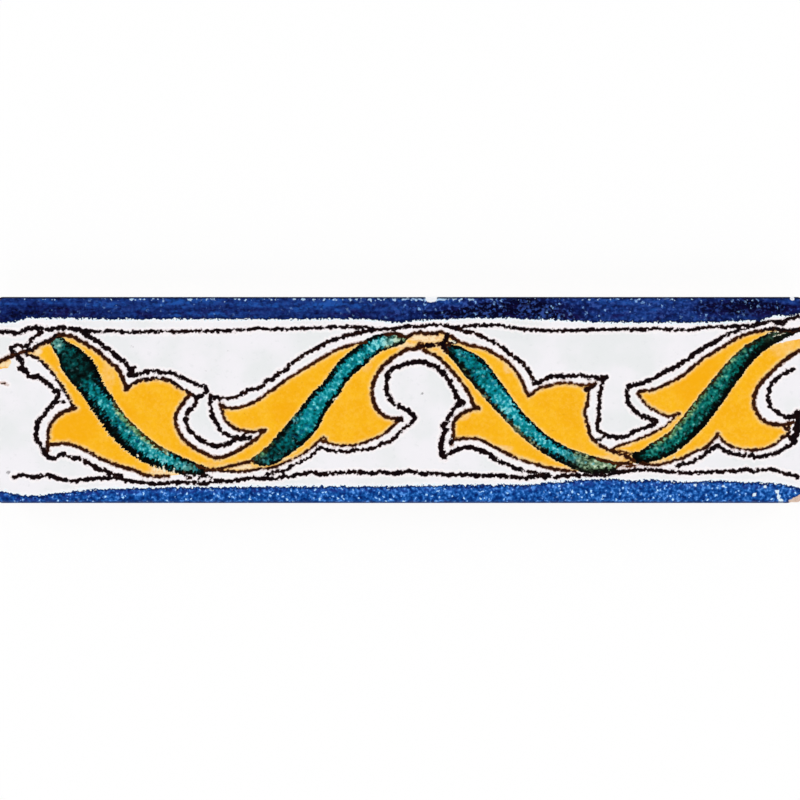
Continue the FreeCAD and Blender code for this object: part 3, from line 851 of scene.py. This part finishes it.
def add_rim(skin, face_numbers, fields, relief):
    """The arris, the four sides and the bevel, ring under ring. Gives the numbers of the lowest ring."""
    ring = edge_of(face_numbers)
    start = np.concatenate(skin.points)[ring]
    paint = {name: edge_of(field) for name, field in fields.items()}
    sunk = -edge_of(relief)
    chipped = eased(paint["bare"], *CHIP_SIDE_SLOPE)
    inner = np.array([HALF_LENGTH - CORNER_RADIUS, HALF_WIDTH - CORNER_RADIUS])
    centres = np.clip(start[:, :2], -inner, inner)
    outward = start[:, :2] - centres
    outward /= np.linalg.norm(outward, axis=1)[:, None]
    travel = travelled(np.vstack([start[:, :2], start[:1, :2]]))
    half_way = travel[-1] / 2
    second = travel[:-1] + NEARLY >= half_way
    along = np.stack([travel[:-1], travel[:-1], travel[1:], travel[1:]], axis=1)
    along = (along - np.where(second, half_way, 0)[:, None]) / (half_way + FACE_STEP)
    end_wave = waves(start[:, 0] * GLAZE_END_STRETCH, start[:, 1] * GLAZE_END_STRETCH, GLAZE_END_LENGTH)
    glaze_end = GLAZE_END + GLAZE_END_WAVE * (2 * end_wave - 1)
    reaches, heights = rim_profile()
    drops = FIRST_DROP + travelled(np.column_stack([reaches, heights]))
    share_high = np.concatenate([[1.0], 1 - drops / (drops[-1] + FIRST_DROP)])
    for level, (reach, height, drop) in enumerate(zip(reaches, heights, drops)):
        glaze = glaze_end - drop - FAR * chipped
        near_top = np.clip((height - (THICKNESS - CHIP_REACH)) / CHIP_REACH, 0, 1)
        gone = GLAZE_SKIN * eased(-glaze, *SKIN_SLOPE) + CHIP_SIDE_SHARE * CHIP_DEPTH * chipped * near_top
        out = reach - gone * (height > 0)
        ring_points = np.column_stack([centres + outward * out[:, None], height - sunk * near_top])
        lower = skin.add_points(ring_points, dict(paint, glaze=glaze, drop=drop))
        faces = np.stack([ring, lower, np.roll(lower, -1), np.roll(ring, -1)], axis=1)
        high, low = share_high[level], share_high[level + 1]
        down = np.broadcast_to([high, low, low, high], along.shape)
        first_half, second_half = (on_map(area, along, down) for area in MAP_SIDES)
        skin.add_faces(faces, np.where(second[:, None, None], second_half, first_half))
        ring = lower
    return ring


def key_loop(row, inset):
    """The edge of one keying groove, moved inwards by inset, anticlockwise from above."""
    radius = KEY_WIDTH / 2 - inset
    turns = np.linspace(-math.pi / 2, math.pi / 2, KEY_ARC_STEPS + 1)
    right = np.column_stack([KEY_REACH + radius * np.cos(turns), row + radius * np.sin(turns)])
    left = np.column_stack([-KEY_REACH - radius * np.cos(turns), row - radius * np.sin(turns)])
    return np.vstack([right, left])


def back_place(points):
    """Places of points of the back on the map."""
    return on_map(MAP_BACK, (points[..., 0] + HALF_LENGTH) / LENGTH, (points[..., 1] + HALF_WIDTH) / WIDTH)


def add_back(skin, lowest_ring, values):
    """The flat back with its keying grooves."""
    inset = KEY_DEPTH * math.tan(KEY_DRAFT)
    last_row = HALF_WIDTH - KEY_SIDE_MARGIN - KEY_WIDTH / 2
    rows = np.linspace(-last_row, last_row, KEY_COUNT)
    loops = [lowest_ring]
    for row in rows:
        mouth_edge = key_loop(row, 0)
        floor_edge = key_loop(row, inset)
        count = len(mouth_edge)
        mouth = skin.add_points(np.column_stack([mouth_edge, np.zeros(count)]), values)
        floor = skin.add_points(np.column_stack([floor_edge, np.full(count, KEY_DEPTH)]), values)
        walls = np.stack([mouth, floor, np.roll(floor, -1), np.roll(mouth, -1)], axis=1)
        high = back_place(mouth_edge)
        low = back_place(key_loop(row, MAP_KEY_WALL))
        skin.add_faces(walls, np.stack([high, low, np.roll(low, -1, 0), np.roll(high, -1, 0)], axis=1))
        skin.add_faces(floor[None, ::-1], low[None, ::-1])
        loops.append(mouth)
    points = np.concatenate(skin.points)
    numbers = np.concatenate(loops)
    edges = []
    first = 0
    for loop in loops:
        steps = np.arange(first, first + len(loop))
        edges.extend(zip(steps.tolist(), np.roll(steps, -1).tolist()))
        first += len(loop)
    flat = [Vector(point[:2]) for point in points[numbers].tolist()]
    inside_outline = 1
    same_place = 1e-7
    made = delaunay_2d_cdt(flat, edges, [], inside_outline, same_place)
    originals = np.array([found[0] for found in made[3]])
    triangles = numbers[originals[np.array(made[2])[:, ::-1]]]
    # The grooves' mouths are filled too, so their triangles are left out
    middles = points[triangles].mean(axis=1)
    past_end = np.maximum(np.abs(middles[:, 0]) - KEY_REACH, 0)
    to_key = np.hypot(past_end[:, None], middles[:, 1:2] - rows).min(axis=1)
    triangles = triangles[to_key > KEY_WIDTH / 2]
    skin.add_faces(triangles, back_place(points[triangles]))


def build_strip():
    """The whole strip as one closed mesh, with its painted values on the vertices."""
    xs = face_steps(HALF_LENGTH - ARRIS_RADIUS, CORNER_RADIUS - ARRIS_RADIUS)
    ys = face_steps(HALF_WIDTH - ARRIS_RADIUS, CORNER_RADIUS - ARRIS_RADIUS)
    x, y = np.meshgrid(xs, ys)
    fields = paint_fields(xs, ys)
    fields["glaze"] = np.full(x.shape, FAR)
    fields["drop"] = np.zeros(x.shape)
    line_ridge = LINE_RIDGE * eased(-fields["line_gap"], *LINE_SLOPE)
    ridge = line_ridge + VEIN_RIDGE * eased(fields["vein"], *VEIN_SLOPE)
    bumps = 1 - CHIP_BUMPS + CHIP_BUMPS * waves(x, y, CHIP_BUMP_LENGTH)
    chip = CHIP_DEPTH * eased(fields["bare"], *CHIP_SLOPE) * bumps
    relief = GLAZE_WAVE * waves(x, y, GLAZE_WAVE_LENGTH) + np.minimum(ridge, LINE_RIDGE)
    relief = relief - relief.max() - chip
    skin = Skin(fields)
    face_numbers = add_face(skin, xs, ys, fields, relief)
    lowest_ring = add_rim(skin, face_numbers, fields, relief)
    plain = dict.fromkeys(fields, -FAR)
    add_back(skin, lowest_ring, dict(plain, drop=THICKNESS))
    mesh = bpy.data.meshes.new(NODE + "_glazed")
    mesh.from_pydata((np.concatenate(skin.points) * MM).tolist(), [], skin.faces)
    for name, parts in skin.fields.items():
        layer = mesh.attributes.new(name, "FLOAT", "POINT")
        layer.data.foreach_set("value", np.concatenate(parts).astype(np.float32))
    places = mesh.uv_layers.new(name="OFBake")
    places.uv.foreach_set("vector", np.concatenate(skin.map_places).astype(np.float32).ravel())
    mesh.polygons.foreach_set("use_smooth", np.ones(len(mesh.polygons), bool))
    mesh.set_sharp_from_angle(angle=SHARP_ANGLE)
    mesh.validate()
    mesh.update()
    strip = bpy.data.objects.new("glazed_strip", mesh)
    bpy.context.scene.collection.objects.link(strip)
    return strip


def srgb(red, green, blue):
    """A colour as shaders want it, from the usual 0 to 255."""
    parts = [value / 255 for value in (red, green, blue)]
    linear = [part / 12.92 if part <= 0.04045 else ((part + 0.055) / 1.055) ** 2.4 for part in parts]
    return (*linear, 1.0)


class Graph:
    """Adds shader nodes to a material and links them."""

    def __init__(self, tree):
        self.tree = tree
        tree.nodes.clear()
        self.places = None

    def put(self, socket, value):
        """Links a node's output to a socket, or sets the socket to a plain value."""
        if isinstance(value, bpy.types.NodeSocket):
            self.tree.links.new(value, socket)
        else:
            socket.default_value = value

    def add(self, kind, inputs=(), **settings):
        """A new node with some settings and inputs."""
        node = self.tree.nodes.new(kind)
        for name, value in settings.items():
            setattr(node, name, value)
        for key, value in dict(inputs).items():
            self.put(node.inputs[key], value)
        return node

    def value(self, name):
        """A painted value of the mesh."""
        return self.add("ShaderNodeAttribute", attribute_name=name).outputs["Fac"]

    def math(self, operation, first, second=0.0):
        """One step of arithmetic."""
        return self.add("ShaderNodeMath", {0: first, 1: second}, operation=operation).outputs[0]

    def plus(self, first, *others):
        """The sum of numbers."""
        for other in others:
            first = self.math("ADD", first, other)
        return first

    def times(self, first, *others):
        """The product of numbers."""
        for other in others:
            first = self.math("MULTIPLY", first, other)
        return first

    def step(self, value, low, high, from_value=0.0, to_value=1.0):
        """A smooth step of a value between low and high."""
        inputs = {0: value, 1: low, 2: high, 3: from_value, 4: to_value}
        return self.add("ShaderNodeMapRange", inputs, interpolation_type="SMOOTHSTEP").outputs[0]

    def fade(self, value, low, high, most=1.0):
        """A smooth step down to nothing between low and high."""
        return self.step(value, low, high, most, 0.0)

    def mix(self, share, first, second):
        """A colour between two colours."""
        node = self.add("ShaderNodeMix", {0: share, 6: first, 7: second}, data_type="RGBA")
        return node.outputs[2]

    def coat(self, colour, paint, *shares):
        """A colour with a paint laid over it, as thickly as the product of the shares."""
        return self.mix(self.times(*shares), colour, srgb(*paint))

    def blend(self, share, first, second):
        """A number between two numbers."""
        node = self.add("ShaderNodeMix", {0: share, 2: first, 3: second}, data_type="FLOAT")
        return node.outputs[0]

    def object_places(self, stretch=(1, 1, 1)):
        """Places on the object, in metres, stretched along its axes."""
        if self.places is None:
            self.places = self.add("ShaderNodeTexCoord").outputs["Object"]
        if stretch == (1, 1, 1):
            return self.places
        return self.add("ShaderNodeMapping", {"Vector": self.places, "Scale": stretch}).outputs[0]

    def noise(self, size, detail=2.0, roughness=0.5, stretch=(1, 1, 1), places=None):
        """Uneven grain, about 0.5 on average, with lumps of this size in millimetres."""
        inputs = {"Vector": places or self.object_places(stretch), "Scale": 1 / (size * MM), "Detail": detail,
                  "Roughness": roughness}
        return self.add("ShaderNodeTexNoise", inputs).outputs["Fac"]

    def grain(self, *terms, **named_terms):
        """The same grain, about 0 on average."""
        return self.plus(self.noise(*terms, **named_terms), -0.5)

    def wobble(self, size, width, detail=2.0, places=None):
        """Uneven shifts of an edge, up to about half the width each way."""
        return self.times(self.grain(size, detail, places=places), 2 * width)

    def across_vein(self):
        """Places that change fast along a vein and slowly across it, in metres."""
        along = self.times(self.value("vein_along"), MM)
        depth = self.times(self.value("vein"), HAIR_STRETCH * MM)
        return self.add("ShaderNodeCombineXYZ", {0: along, 1: depth}).outputs[0]

    def dots(self, size, share, radius):
        """Scattered uneven dots, about this many millimetres apart, on this share of the places."""
        grain = {"Vector": self.object_places(), "Scale": 1 / (0.5 * size * MM), "Detail": 1.0}
        shift = self.add("ShaderNodeTexNoise", grain).outputs["Color"]
        middle = (0.5, 0.5, 0.5)
        shift = self.add("ShaderNodeVectorMath", {0: shift, 1: middle}, operation="SUBTRACT").outputs[0]
        bend = {0: shift, 1: (0.9 * size * MM,) * 3, 2: self.object_places()}
        bent = self.add("ShaderNodeVectorMath", bend, operation="MULTIPLY_ADD").outputs[0]
        node = self.add("ShaderNodeTexVoronoi", {"Vector": bent, "Scale": 1 / (size * MM)})
        chance = self.add("ShaderNodeSeparateColor", {0: node.outputs["Color"]}).outputs[0]
        near = self.fade(node.outputs["Distance"], 0.25 * radius, radius)
        return self.times(near, self.step(chance, 0.9 - share, 1.1 - share))

    def ramp(self, value, *stops):
        """Colours along a scale: place and colour of each stop."""
        node = self.add("ShaderNodeValToRGB", {0: value})
        scale = node.color_ramp
        while len(scale.elements) < len(stops):
            scale.elements.new(0.5)
        for element, (place, *colour) in zip(scale.elements, stops):
            element.position = place
            element.color = srgb(*colour)
        return node.outputs[0]


def paint_ground(g, line_gap, band_gap):
    """The white tin glaze, a little brighter beside the lines and with a breath of blue beside the bands."""
    ground = g.mix(g.step(g.noise(11, 3), 0.35, 0.65), srgb(235, 237, 238), srgb(244, 242, 246))
    ground = g.coat(ground, (222, 224, 226), g.step(g.noise(1.1, 2), 0.6, 0.75), 0.3)
    ground = g.coat(ground, (254, 249, 250), g.fade(line_gap, 0.25, 0.95), 0.85)
    ground = g.coat(ground, (224, 245, 255), g.fade(band_gap, 0.05, 0.6, 0.75))
    speck = g.step(g.plus(g.value("speck"), g.wobble(0.5, 0.5)), 0.25, 0.8)
    return g.coat(ground, (120, 115, 118), speck, 0.75)


def paint_leaf(g, line_gap, vein):
    """The yellow of the leaves, paler along its edges and where the brush ran dry."""
    yellow = g.mix(g.step(g.noise(5, 3), 0.35, 0.65), srgb(253, 188, 32), srgb(250, 180, 22))
    dark_grain = g.step(g.noise(0.75, 3, 0.6), 0.35, 0.65)
    yellow = g.coat(yellow, (247, 170, 18), dark_grain, 0.35)
    light_grain = g.step(g.noise(0.9, 3, 0.6, (1, 1, 1.2)), 0.4, 0.75)
    yellow = g.coat(yellow, (255, 200, 80), light_grain, 0.4)
    dots = g.step(g.noise(0.8, 2), 0.68, 0.76)
    yellow = g.coat(yellow, (226, 146, 24), dots, 0.45)
    deep = g.step(g.plus(g.value("leaf_deep"), g.wobble(3.0, 0.2)), 0.1, 0.9)
    yellow = g.coat(yellow, (249, 173, 14), deep, 0.6)
    edge = g.math("MINIMUM", line_gap, g.math("SUBTRACT", 0.2, vein))
    worn = g.step(g.noise(1.4, 2), 0.35, 0.6, 0.35, 1.0)
    yellow = g.coat(yellow, (252, 206, 110), g.fade(edge, 0.2, 1.2, 0.6), worn)
    yellow = g.coat(yellow, (253, 222, 158), g.fade(edge, 0.15, 0.65, 0.8), worn)
    pale = g.step(g.plus(g.value("leaf_pale"), g.wobble(2.0, 0.25)), 0.1, 1.0)
    smudge = g.times(g.step(g.noise(0.95, 2), 0.47, 0.64), 0.6)
    return g.mix(pale, yellow, g.mix(smudge, srgb(252, 228, 186), srgb(238, 176, 92)))


def paint_vein(g):
    """The green of the veins: soft teal that darkens into ragged black rims, with a pale fringe in places."""
    light = g.value("vein_light")
    hairs = g.grain(0.6, 1, places=g.across_vein())
    blots = g.grain(1.6, 2)
    grain = g.grain(0.92, 1)
    mottle = g.plus(g.times(hairs, 0.4), g.times(blots, 0.8), g.times(grain, 1.25))
    shade = g.plus(light, g.times(mottle, g.step(light, 0.02, 0.5, 0.35, 1.0)))
    ragged = g.times(g.wobble(0.5, 1.9, 1.0, g.across_vein()), g.value("vein_rough"))
    rim = g.plus(g.value("vein_rim"), ragged, g.wobble(1.3, 1.1), g.wobble(0.65, 0.8, 1.0))
    softness = g.math("MAXIMUM", g.value("vein_soft"), 0.5)
    inside = g.fade(g.math("DIVIDE", rim, softness), -1.0, 0.4)
    lit = g.times(shade, inside)
    teal = g.ramp(
        lit, (0.0, 2, 5, 5), (0.16, 3, 26, 26), (0.34, 4, 66, 68), (0.55, 4, 110, 118), (0.75, 6, 142, 158),
        (0.9, 40, 174, 192), (1.0, 130, 216, 224))
    green = g.ramp(
        lit, (0.0, 3, 6, 4), (0.16, 4, 28, 22), (0.34, 5, 68, 58), (0.55, 9, 108, 96), (0.75, 40, 144, 122),
        (1.0, 150, 208, 180))
    greenness = g.value("vein_green")
    colour = g.mix(greenness, teal, green)
    navy = g.step(g.noise(1.2, 2, 0.5, (1, 1, 1.4)), 0.54, 0.66)
    navy = g.times(navy, g.step(light, 0.25, 0.5, 0.0, 0.45), g.step(greenness, 0.2, 0.8, 1.0, 0.25))
    colour = g.coat(colour, (4, 84, 134), navy, inside)
    pale = g.ramp(
        lit, (0.0, 10, 12, 8), (0.3, 44, 58, 40), (0.55, 90, 120, 92), (0.8, 140, 164, 130),
        (1.0, 206, 222, 196))
    paleness = g.step(g.plus(g.value("vein_pale"), g.wobble(1.0, 0.3)), 0.1, 0.95)
    colour = g.mix(paleness, colour, pale)
    sparks = g.times(g.dots(1.1, 0.45, 0.42), g.step(light, 0.2, 0.6, 0.12, 0.6))
    colour = g.coat(colour, (124, 208, 214), sparks, inside)
    fringe = g.ramp(shade, (0.0, 26, 40, 16), (0.4, 76, 120, 70), (0.65, 112, 166, 122), (1.0, 206, 220, 170))
    olive = g.value("vein_olive")
    patchy = g.plus(g.times(hairs, 0.4), g.times(blots, 1.3), g.times(grain, 0.8))
    tint = g.times(g.step(g.plus(olive, patchy), 0.2, 0.85), g.step(olive, 0.02, 0.2))
    colour = g.mix(tint, colour, fringe)
    return g.coat(colour, (54, 36, 10), g.step(rim, -0.15, 0.15), g.step(olive, 0.1, 0.55))


def paint_upper_band(g, depth):
    """Dark cobalt, streaked along the strip and darker towards the middle, with a worn outer edge."""
    streak = g.times(g.grain(1.3, 3, 0.6, (0.2, 1, 1)), 1.2)
    cloud = g.times(g.grain(4.0, 2, 0.5, (0.4, 1, 1)), 0.6)
    mottle = g.times(g.grain(0.7, 2, 0.55, (0.7, 1, 1)), 0.9)
    dark = g.times(g.value("band_dark"), g.step(depth, 0.8, 4.6, 1.0, 0.35))
    dark = g.plus(dark, g.value("band_shade"), g.step(depth, 0.5, 4.0, 0.22, 0.15), streak, cloud, mottle)
    blue = g.ramp(dark, (0.0, 32, 84, 168), (0.3, 24, 54, 124), (0.65, 14, 28, 86), (1.0, 4, 3, 30))
    violet = g.step(g.noise(1.7, 2, 0.5, (0.4, 1, 1)), 0.5, 0.68)
    blue = g.coat(blue, (28, 20, 78), violet, g.step(depth, 1.0, 3.5, 0.6, 0.2))
    specks = g.value("band_specks")
    grain = g.plus(g.times(g.noise(0.85, 1, 0.5, (0.8, 1, 1)), 0.7), g.times(g.noise(1.7, 1, 0.5), 0.3))
    blue = g.coat(blue, (4, 6, 40), g.step(grain, 0.5, 0.36), 0.55)
    blue = g.coat(blue, (56, 86, 164), g.step(grain, 0.5, 0.68), specks, 0.8)
    blue = g.coat(blue, (60, 100, 188), g.dots(0.95, 0.5, 0.42), specks, 0.6)
    blue = g.coat(blue, (144, 192, 250), g.dots(1.6, 0.4, 0.3), specks, 0.9)
    blue = g.coat(blue, (4, 18, 58), g.fade(depth, 0.28, 0.7), 0.8)
    wear = g.value("edge_wear")
    worn = g.step(g.plus(wear, g.wobble(0.85, 1.7, 1.0), g.wobble(0.4, 0.4)), 0.74, 1.1)
    return g.coat(blue, (180, 216, 250), worn, g.step(wear, 0.02, 0.2, 0.0, 0.85))


def paint_lower_band(g, depth):
    """Lighter cobalt, full of small pale dots and a little violet along its inner edge."""
    cloud = g.plus(g.grain(2.4, 3, 0.6, (0.6, 1, 1)), g.step(depth, 0.8, 3.0, 0.2, 0.12))
    cloud = g.times(g.plus(cloud, g.value("band_light")), 0.14)
    grain = g.plus(g.times(g.noise(0.8, 1, 0.5), 0.7), g.times(g.noise(1.5, 1, 0.5), 0.3))
    blue = g.ramp(
        g.plus(grain, cloud), (0.33, 4, 32, 92), (0.45, 9, 54, 126), (0.53, 17, 74, 150),
        (0.61, 38, 102, 184), (0.7, 88, 150, 232))
    violet = g.step(g.noise(2.0, 2), 0.35, 0.6)
    blue = g.coat(blue, (58, 70, 164), violet, g.fade(depth, 0.8, 1.9, 0.3))
    blue = g.coat(blue, (84, 152, 246), g.dots(1.15, 0.75, 0.46), 0.9)
    blue = g.coat(blue, (196, 238, 255), g.dots(1.15, 0.75, 0.3), 0.95)
    blue = g.coat(blue, (6, 26, 80), g.fade(depth, 0.32, 0.8), 0.9)
    spot = g.value("band_spot")
    spots = g.step(g.plus(spot, g.wobble(0.6, 0.4, 1.0)), 0.25, 0.6)
    return g.coat(blue, (222, 242, 254), spots, g.step(spot, 0.02, 0.2, 0.0, 0.95))


def paint_biscuit(g):
    """The bare fired clay of the sides and back."""
    clay = g.mix(g.step(g.noise(6, 4, 0.6), 0.3, 0.7), srgb(206, 178, 162), srgb(222, 198, 180))
    clay = g.coat(clay, (178, 146, 130), g.step(g.noise(0.5, 3), 0.58, 0.7), 0.5)
    return g.coat(clay, (236, 222, 208), g.step(g.noise(1.1, 2), 0.66, 0.74), 0.6)


def paint_lines(g, colour, line_gap, leaf, vein, warm):
    """The dark brush lines over the ground and the leaves, with a thin stain beside them."""
    brown = g.times(g.value("line_brown"), g.step(g.noise(1.6, 2), 0.38, 0.6))
    rim = g.times(g.step(line_gap, -0.3, -0.05), g.step(leaf, 0.0, 0.3, 0.04, 0.5))
    brown = g.math("MAXIMUM", g.times(brown, 0.8), rim)
    line = g.coat(g.mix(warm, srgb(8, 1, 5), srgb(36, 10, 2)), (90, 42, 8), brown)
    stain = g.mix(warm, srgb(150, 100, 112), srgb(156, 92, 44))
    stained = g.times(g.fade(line_gap, -0.05, 0.42), g.fade(vein, -0.15, 0.05), g.blend(warm, 0.3, 0.62))
    colour = g.mix(stained, colour, stain)
    return g.mix(g.fade(line_gap, -0.09, 0.09), colour, line)


def glazed_material():
    """The whole strip's material: painted glaze on the face, bare clay elsewhere."""
    material = bpy.data.materials.new("painted_glaze")
    material.use_nodes = True
    g = Graph(material.node_tree)

    # Edges of the paint, in millimetres, made uneven
    rough_edge = g.plus(g.wobble(0.7, 0.58, 1.0), g.wobble(1.6, 0.3, 1.0))
    warm = g.step(g.value("line_brown"), 0.15, 0.35)
    rough_edge = g.times(g.math("MAXIMUM", rough_edge, -0.18), g.blend(warm, 1.0, 0.7))
    line_gap = g.plus(g.value("line_gap"), rough_edge)
    leaf = g.plus(g.value("leaf"), g.wobble(0.8, 0.2))
    ragged = g.times(g.wobble(0.45, 0.9, 1.0, g.across_vein()), g.value("vein_rough"))
    vein = g.plus(g.value("vein"), ragged, g.wobble(0.9, 0.3), g.wobble(0.6, 0.3, 1.0))
    band_edge = g.plus(g.wobble(0.8, 0.7), g.wobble(0.4, 0.35))
    upper = g.plus(g.value("upper_band"), band_edge)
    lower = g.plus(g.value("lower_band"), band_edge)
    in_band = g.math("MAXIMUM", upper, lower)
    band_gap = g.times(in_band, -1)

    # The paint, coat over coat
    colour = paint_ground(g, g.math("MINIMUM", line_gap, band_gap), band_gap)
    colour = g.mix(g.step(leaf, -0.08, 0.08), colour, paint_leaf(g, line_gap, vein))
    colour = g.mix(g.step(vein, -0.09, 0.09), colour, paint_vein(g))
    colour = paint_lines(g, colour, line_gap, leaf, vein, warm)
    fleck = g.plus(g.value("fleck"), g.wobble(0.5, 0.4))
    colour = g.coat(colour, (243, 238, 214), g.fade(fleck, -0.12, 0.12, 0.92))
    colour = g.mix(g.step(upper, -0.07, 0.07), colour, paint_upper_band(g, upper))
    colour = g.mix(g.step(lower, -0.07, 0.07), colour, paint_lower_band(g, lower))

    # The tile's own edge: painted shade that darkens the bands where the edge rounds down, notches, and bare
    # clay where the glaze ends
    # Painted shade: the blue of both bands is darkened on the rounded edge and the glazed sides, where they
    # turn down from the face
    outer = g.step(g.plus(g.value("drop"), g.wobble(1.0, 0.3)), 0.12, 0.32)
    colour = g.coat(colour, (6, 8, 36), outer, g.step(upper, 0.0, 0.3, 0.0, 0.85))
    colour = g.coat(colour, (6, 42, 92), outer, g.step(lower, 0.0, 0.3, 0.0, 0.75))
    dull = g.times(outer, g.step(in_band, 0.0, 0.3))
    notch = g.step(g.plus(g.value("notch"), g.wobble(0.7, 0.5)), 0.3, 0.6)
    colour = g.coat(colour, (240, 242, 246), notch, g.step(g.value("notch"), 0.02, 0.2))
    bare = g.step(g.plus(g.value("bare"), g.wobble(0.6, 0.3)), -0.1, 0.1)
    glaze = g.plus(g.value("glaze"), g.wobble(2.0, 1.2), g.wobble(0.6, 0.4))
    clay = g.math("MAXIMUM", bare, g.fade(glaze, -0.15, 0.15))
    colour = g.coat(colour, (206, 196, 186), g.fade(glaze, 0.0, 0.7), 0.55)
    colour = g.mix(clay, colour, paint_biscuit(g))

    # Gloss and fine relief
    gloss = g.plus(0.1, g.times(g.noise(4, 2), 0.12))
    gloss = g.blend(g.fade(line_gap, -0.1, 0.1, 0.6), gloss, LINE_ROUGHNESS)
    roughness = g.blend(clay, gloss, CLAY_ROUGHNESS)
    peel = g.plus(g.times(g.noise(1.4, 2), 0.02), g.times(g.noise(0.35, 3), 0.004))
    grit = g.plus(g.times(g.noise(0.5, 4, 0.65), 0.11), g.times(g.noise(2.5, 3), 0.12))
    height = g.times(g.blend(clay, peel, grit), MM)
    bump = g.add("ShaderNodeBump", {"Strength": 1.0, "Distance": 1.0, "Height": height})
    shader = g.add("ShaderNodeBsdfPrincipled", {
        "Base Color": colour, "Roughness": roughness, "Normal": bump.outputs["Normal"], "IOR": GLAZE_IOR,
        "Specular IOR Level": g.blend(dull, 0.5, 0.04)})
    g.add("ShaderNodeOutputMaterial", {"Surface": shader.outputs[0]})
    return material


# Stage: camera, floor and light. Lens and sensor are in millimetres, other sizes in metres.
CAMERA_LENS = 100
CAMERA_SENSOR = 36
CAMERA_CLIP = 0.01
FLOOR_SIZE = 4.0
FLOOR_DROP = 0.0003
FLOOR_COLOUR = (0.96, 0.96, 0.96, 1)
FLOOR_GLOW = 0.88
WHITE = (1, 1, 1, 1)
# Lamps: name, place, power in watts
LAMP_SIZE = 1.2
LAMPS = [
    ("left_lamp", (-1.2, 0.35, 0.95), 12.1),
    ("right_lamp", (1.2, 0.35, 0.95), 12.1),
    ("near_lamp", (0.0, -1.25, 0.95), 8.2),
]
# Light of the surround beyond that of the dark card overhead, light of the card, and the card's soft edge
SURROUND_LIGHT = 0.7
CARD_LIGHT = 0.012
CARD_EDGE = (0.55, 0.85)


def make_camera():
    """Looks straight down at the middle of the face."""
    data = bpy.data.cameras.new("camera")
    data.lens = CAMERA_LENS
    data.sensor_width = CAMERA_SENSOR
    data.clip_start = CAMERA_CLIP
    camera = bpy.data.objects.new("camera", data)
    camera.location = (0, 0, (THICKNESS + PICTURE_WIDTH * CAMERA_LENS / CAMERA_SENSOR) * MM)
    bpy.context.scene.collection.objects.link(camera)
    bpy.context.scene.camera = camera


def make_floor():
    """A plain white floor that keeps a faint shadow."""
    mesh = bpy.data.meshes.new("floor")
    half = FLOOR_SIZE / 2
    corners = [(-half, -half, -FLOOR_DROP), (half, -half, -FLOOR_DROP), (half, half, -FLOOR_DROP),
               (-half, half, -FLOOR_DROP)]
    mesh.from_pydata(corners, [], [(0, 1, 2, 3)])
    material = bpy.data.materials.new("white_floor")
    material.use_nodes = True
    g = Graph(material.node_tree)
    path = g.add("ShaderNodeLightPath").outputs
    seen = g.math("MAXIMUM", path["Is Camera Ray"], path["Is Glossy Ray"])
    seen = g.math("MAXIMUM", seen, path["Is Transmission Ray"])
    plain = g.add("ShaderNodeBsdfDiffuse", {"Color": FLOOR_COLOUR}).outputs[0]
    glow = g.add("ShaderNodeEmission", {"Color": WHITE, "Strength": 1.0}).outputs[0]
    both = g.add("ShaderNodeMixShader", {0: g.times(seen, FLOOR_GLOW), 1: plain, 2: glow})
    g.add("ShaderNodeOutputMaterial", {"Surface": both.outputs[0]})
    mesh.materials.append(material)
    floor = bpy.data.objects.new("floor", mesh)
    bpy.context.scene.collection.objects.link(floor)


def make_lamp(name, place, power):
    """A soft square lamp that faces the middle of the tile."""
    data = bpy.data.lights.new(name, "AREA")
    data.shape = "SQUARE"
    data.size = LAMP_SIZE
    data.energy = power
    lamp = bpy.data.objects.new(name, data)
    lamp.location = place
    lamp.rotation_euler = (-Vector(place)).to_track_quat("-Z", "Y").to_euler()
    bpy.context.scene.collection.objects.link(lamp)


def make_light():
    """Even studio light: soft lamps round the tile, a pale surround and a dark card straight above."""
    for name, place, power in LAMPS:
        make_lamp(name, place, power)
    world = bpy.data.worlds.new("surround")
    bpy.context.scene.world = world
    world.use_nodes = True
    g = Graph(world.node_tree)
    way = g.add("ShaderNodeTexCoord").outputs["Generated"]
    upward = g.add("ShaderNodeSeparateXYZ", {0: way}).outputs["Z"]
    light = g.plus(g.fade(upward, *CARD_EDGE, SURROUND_LIGHT), CARD_LIGHT)
    background = g.add("ShaderNodeBackground", {"Color": WHITE, "Strength": light})
    g.add("ShaderNodeOutputWorld", {"Surface": background.outputs[0]})


def main():
    strip = build_strip()
    strip.data.materials.append(glazed_material())
    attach(strip, "root")
    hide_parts(NODE)
    make_camera()
    make_floor()
    make_light()
    bpy.context.scene.view_settings.view_transform = "Standard"


main()
